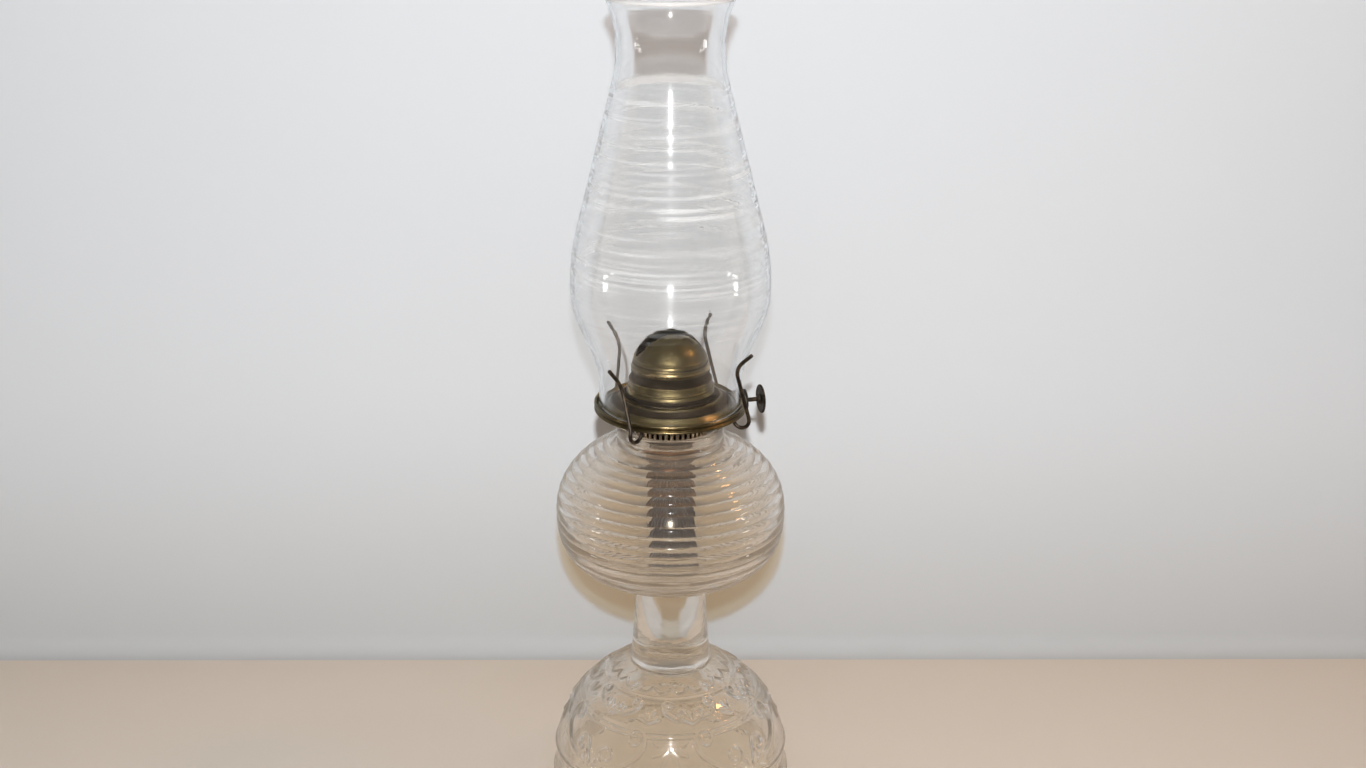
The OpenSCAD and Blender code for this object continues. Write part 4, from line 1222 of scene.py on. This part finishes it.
class LAMP_OT_stage(bpy.types.Operator):
    """Table, backdrop, lamps and the camera at the photograph's angle"""
    bl_idname = "lamp.stage"
    bl_label = "Stage"

    def execute(self, context):
        s, p = sizes("stage"), sizes("finish")
        floor_z = -0.3 * MM
        wall = self.sheet("wall", [(-s.half_width, s.wall_distance - s.cove_radius, floor_z)], s)
        wall.data.materials.append(stage_cloth("wall_cloth", p.wall, True))
        select_none()
        bpy.ops.mesh.primitive_plane_add(size=2 * s.half_width, location=(0, 0, floor_z))
        table = context.object
        table.name = "table"
        bpy.ops.object.transform_apply(location=True)
        table.data.materials.append(stage_cloth("table_top", p.table, False))
        self.lamps()
        self.camera(s)
        return {"FINISHED"}

    def sheet(self, name, start, s):
        """The wall: an edge on the table drawn up through a cove."""
        select_none()
        bpy.ops.mesh.primitive_plane_add(size=2)
        piece = bpy.context.object
        piece.name = piece.data.name = name
        y, z = start[0][1], start[0][2]
        corners = [(-s.half_width, y - 1 * MM, z + 0.1 * MM), (s.half_width, y - 1 * MM, z + 0.1 * MM),
                   (-s.half_width, y, z + 0.1 * MM), (s.half_width, y, z + 0.1 * MM)]
        set_points(piece, np.array(corners))
        edit(piece, "DESELECT")
        bpy.ops.mesh.select_mode(type="EDGE")
        bpy.ops.object.mode_set(mode="OBJECT")
        for e in piece.data.edges:
            e.select = all(abs(piece.data.vertices[v].co.y - y) < 1e-6 for v in e.vertices)
        bpy.ops.object.mode_set(mode="EDIT")
        bpy.ops.mesh.spin(steps=8, angle=-math.pi / 2, center=(0, y, z + s.cove_radius), axis=(1, 0, 0))
        bpy.ops.mesh.extrude_region_move(TRANSFORM_OT_translate={"value": (0, 0, 2.2)})
        bpy.ops.mesh.select_mode(type="VERT")
        bpy.ops.object.mode_set(mode="OBJECT")
        for face in piece.data.polygons:
            face.use_smooth = True
        middle = piece.data.polygons[-1]
        if (middle.normal.y > 0.5):
            edit(piece)
            bpy.ops.mesh.flip_normals()
            bpy.ops.object.mode_set(mode="OBJECT")
        return piece

    def lamps(self):
        """A key over the camera, a fill from each side and a pale world, whose camera side is mirrored dimly."""
        world = bpy.data.worlds.new("studio")
        bpy.context.scene.world = world
        f = Finish("studio", world)
        dim = f.node("ShaderNodeBackground", None, (1.0, 0.95, 0.9), 0.11)
        pale = f.node("ShaderNodeBackground", None, PALE, 1.0)
        seen = f.node("ShaderNodeLightPath", out="Is Camera Ray") + f.node("ShaderNodeLightPath", out="Is Transmission Ray")
        f.place = f.node("ShaderNodeTexCoord", out="Generated")
        before = 1 - f.axes()[1].steps(-0.45, 0.0)
        mirrored = f.node("ShaderNodeLightPath", out="Glossy Depth").steps(0.4, 0.6) * before
        f.ends(f.node("ShaderNodeMixShader", None, seen * (1 - mirrored), dim, pale), "World")
        for name, spot, aim, wide, power, colour in (
                ("key", (0.0, -0.93, 0.675), (0, 0.14, 0.5), 0.022, 11.1, (0.97, 0.985, 1.0)),
                ("left_fill", (-1.2, -0.26, 0.1), (0, 0, 0.3), 0.1, 0.4, (1, 1, 1)),
                ("right_fill", (1.2, -0.26, 0.1), (0, 0, 0.3), 0.1, 0.4, (1, 1, 1)),
                ("warm_fill", (1.0, 0.02, 1.16), (0, 0, 0.2), 0.13, 1.8, (1, 0.55, 0.22))):
            light = bpy.data.lights.new(name, "AREA")
            light.size, light.energy, light.color = wide, power, colour
            lamp = bpy.data.objects.new(name, light)
            bpy.context.collection.objects.link(lamp)
            lamp.location = spot
            lamp.rotation_euler = (Vector(aim) - Vector(spot)).to_track_quat("-Z", "Y").to_euler()

    def camera(self, s):
        camera = bpy.data.cameras.new("camera")
        camera.sensor_width = 36
        camera.lens = s.focal_pixels / PHOTO_SIZE[0] * camera.sensor_width
        seat = bpy.data.objects.new("camera", camera)
        bpy.context.collection.objects.link(seat)
        swing = math.atan((s.axis_column - PHOTO_SIZE[0] / 2) / s.focal_pixels)
        seat.location = (0, -s.camera_distance, s.camera_height)
        tilt = Matrix.Rotation(math.pi / 2 - s.camera_pitch, 4, "X")
        seat.rotation_euler = (tilt @ Matrix.Rotation(swing, 4, "Y")).to_euler()
        bpy.context.scene.camera = seat
        bpy.context.scene.view_settings.view_transform = "Standard"


class LAMP_PT_panel(bpy.types.Panel):
    """Lists the lamp's pieces"""
    bl_idname = "LAMP_PT_panel"
    bl_label = "Table oil lamp"
    bl_space_type = "VIEW_3D"
    bl_region_type = "UI"
    bl_category = "Lamp"

    def draw(self, context):
        for operator in OPERATORS:
            self.layout.operator(operator.bl_idname)


GROUPS = {
    "glass": LAMP_PG_glass,
    "chimney": LAMP_PG_chimney,
    "burner": LAMP_PG_burner,
    "finish": LAMP_PG_finish,
    "stage": LAMP_PG_stage,
}
OPERATORS = (LAMP_OT_stage, LAMP_OT_glass_body, LAMP_OT_chimney, LAMP_OT_deck, LAMP_OT_flame_dome,
             LAMP_OT_screw_shell, LAMP_OT_prongs, LAMP_OT_thumb_wheel, LAMP_OT_wick, LAMP_OT_fittings)


def register():
    for group in GROUPS.values():
        bpy.utils.register_class(group)
    for operator in OPERATORS:
        bpy.utils.register_class(operator)
    bpy.utils.register_class(LAMP_PT_panel)
    for name, group in GROUPS.items():
        setattr(bpy.types.Scene, "lamp_" + name, PointerProperty(type=group))


def unregister():
    for name in GROUPS:
        delattr(bpy.types.Scene, "lamp_" + name)
    bpy.utils.unregister_class(LAMP_PT_panel)
    for operator in reversed(OPERATORS):
        bpy.utils.unregister_class(operator)
    for group in reversed(GROUPS.values()):
        bpy.utils.unregister_class(group)


def main():
    """Builds the lamp."""
    register()
    for operator in OPERATORS:
        family, name = operator.bl_idname.split(".")
        getattr(getattr(bpy.ops, family), name)()


if __name__ == "__main__":
    main()
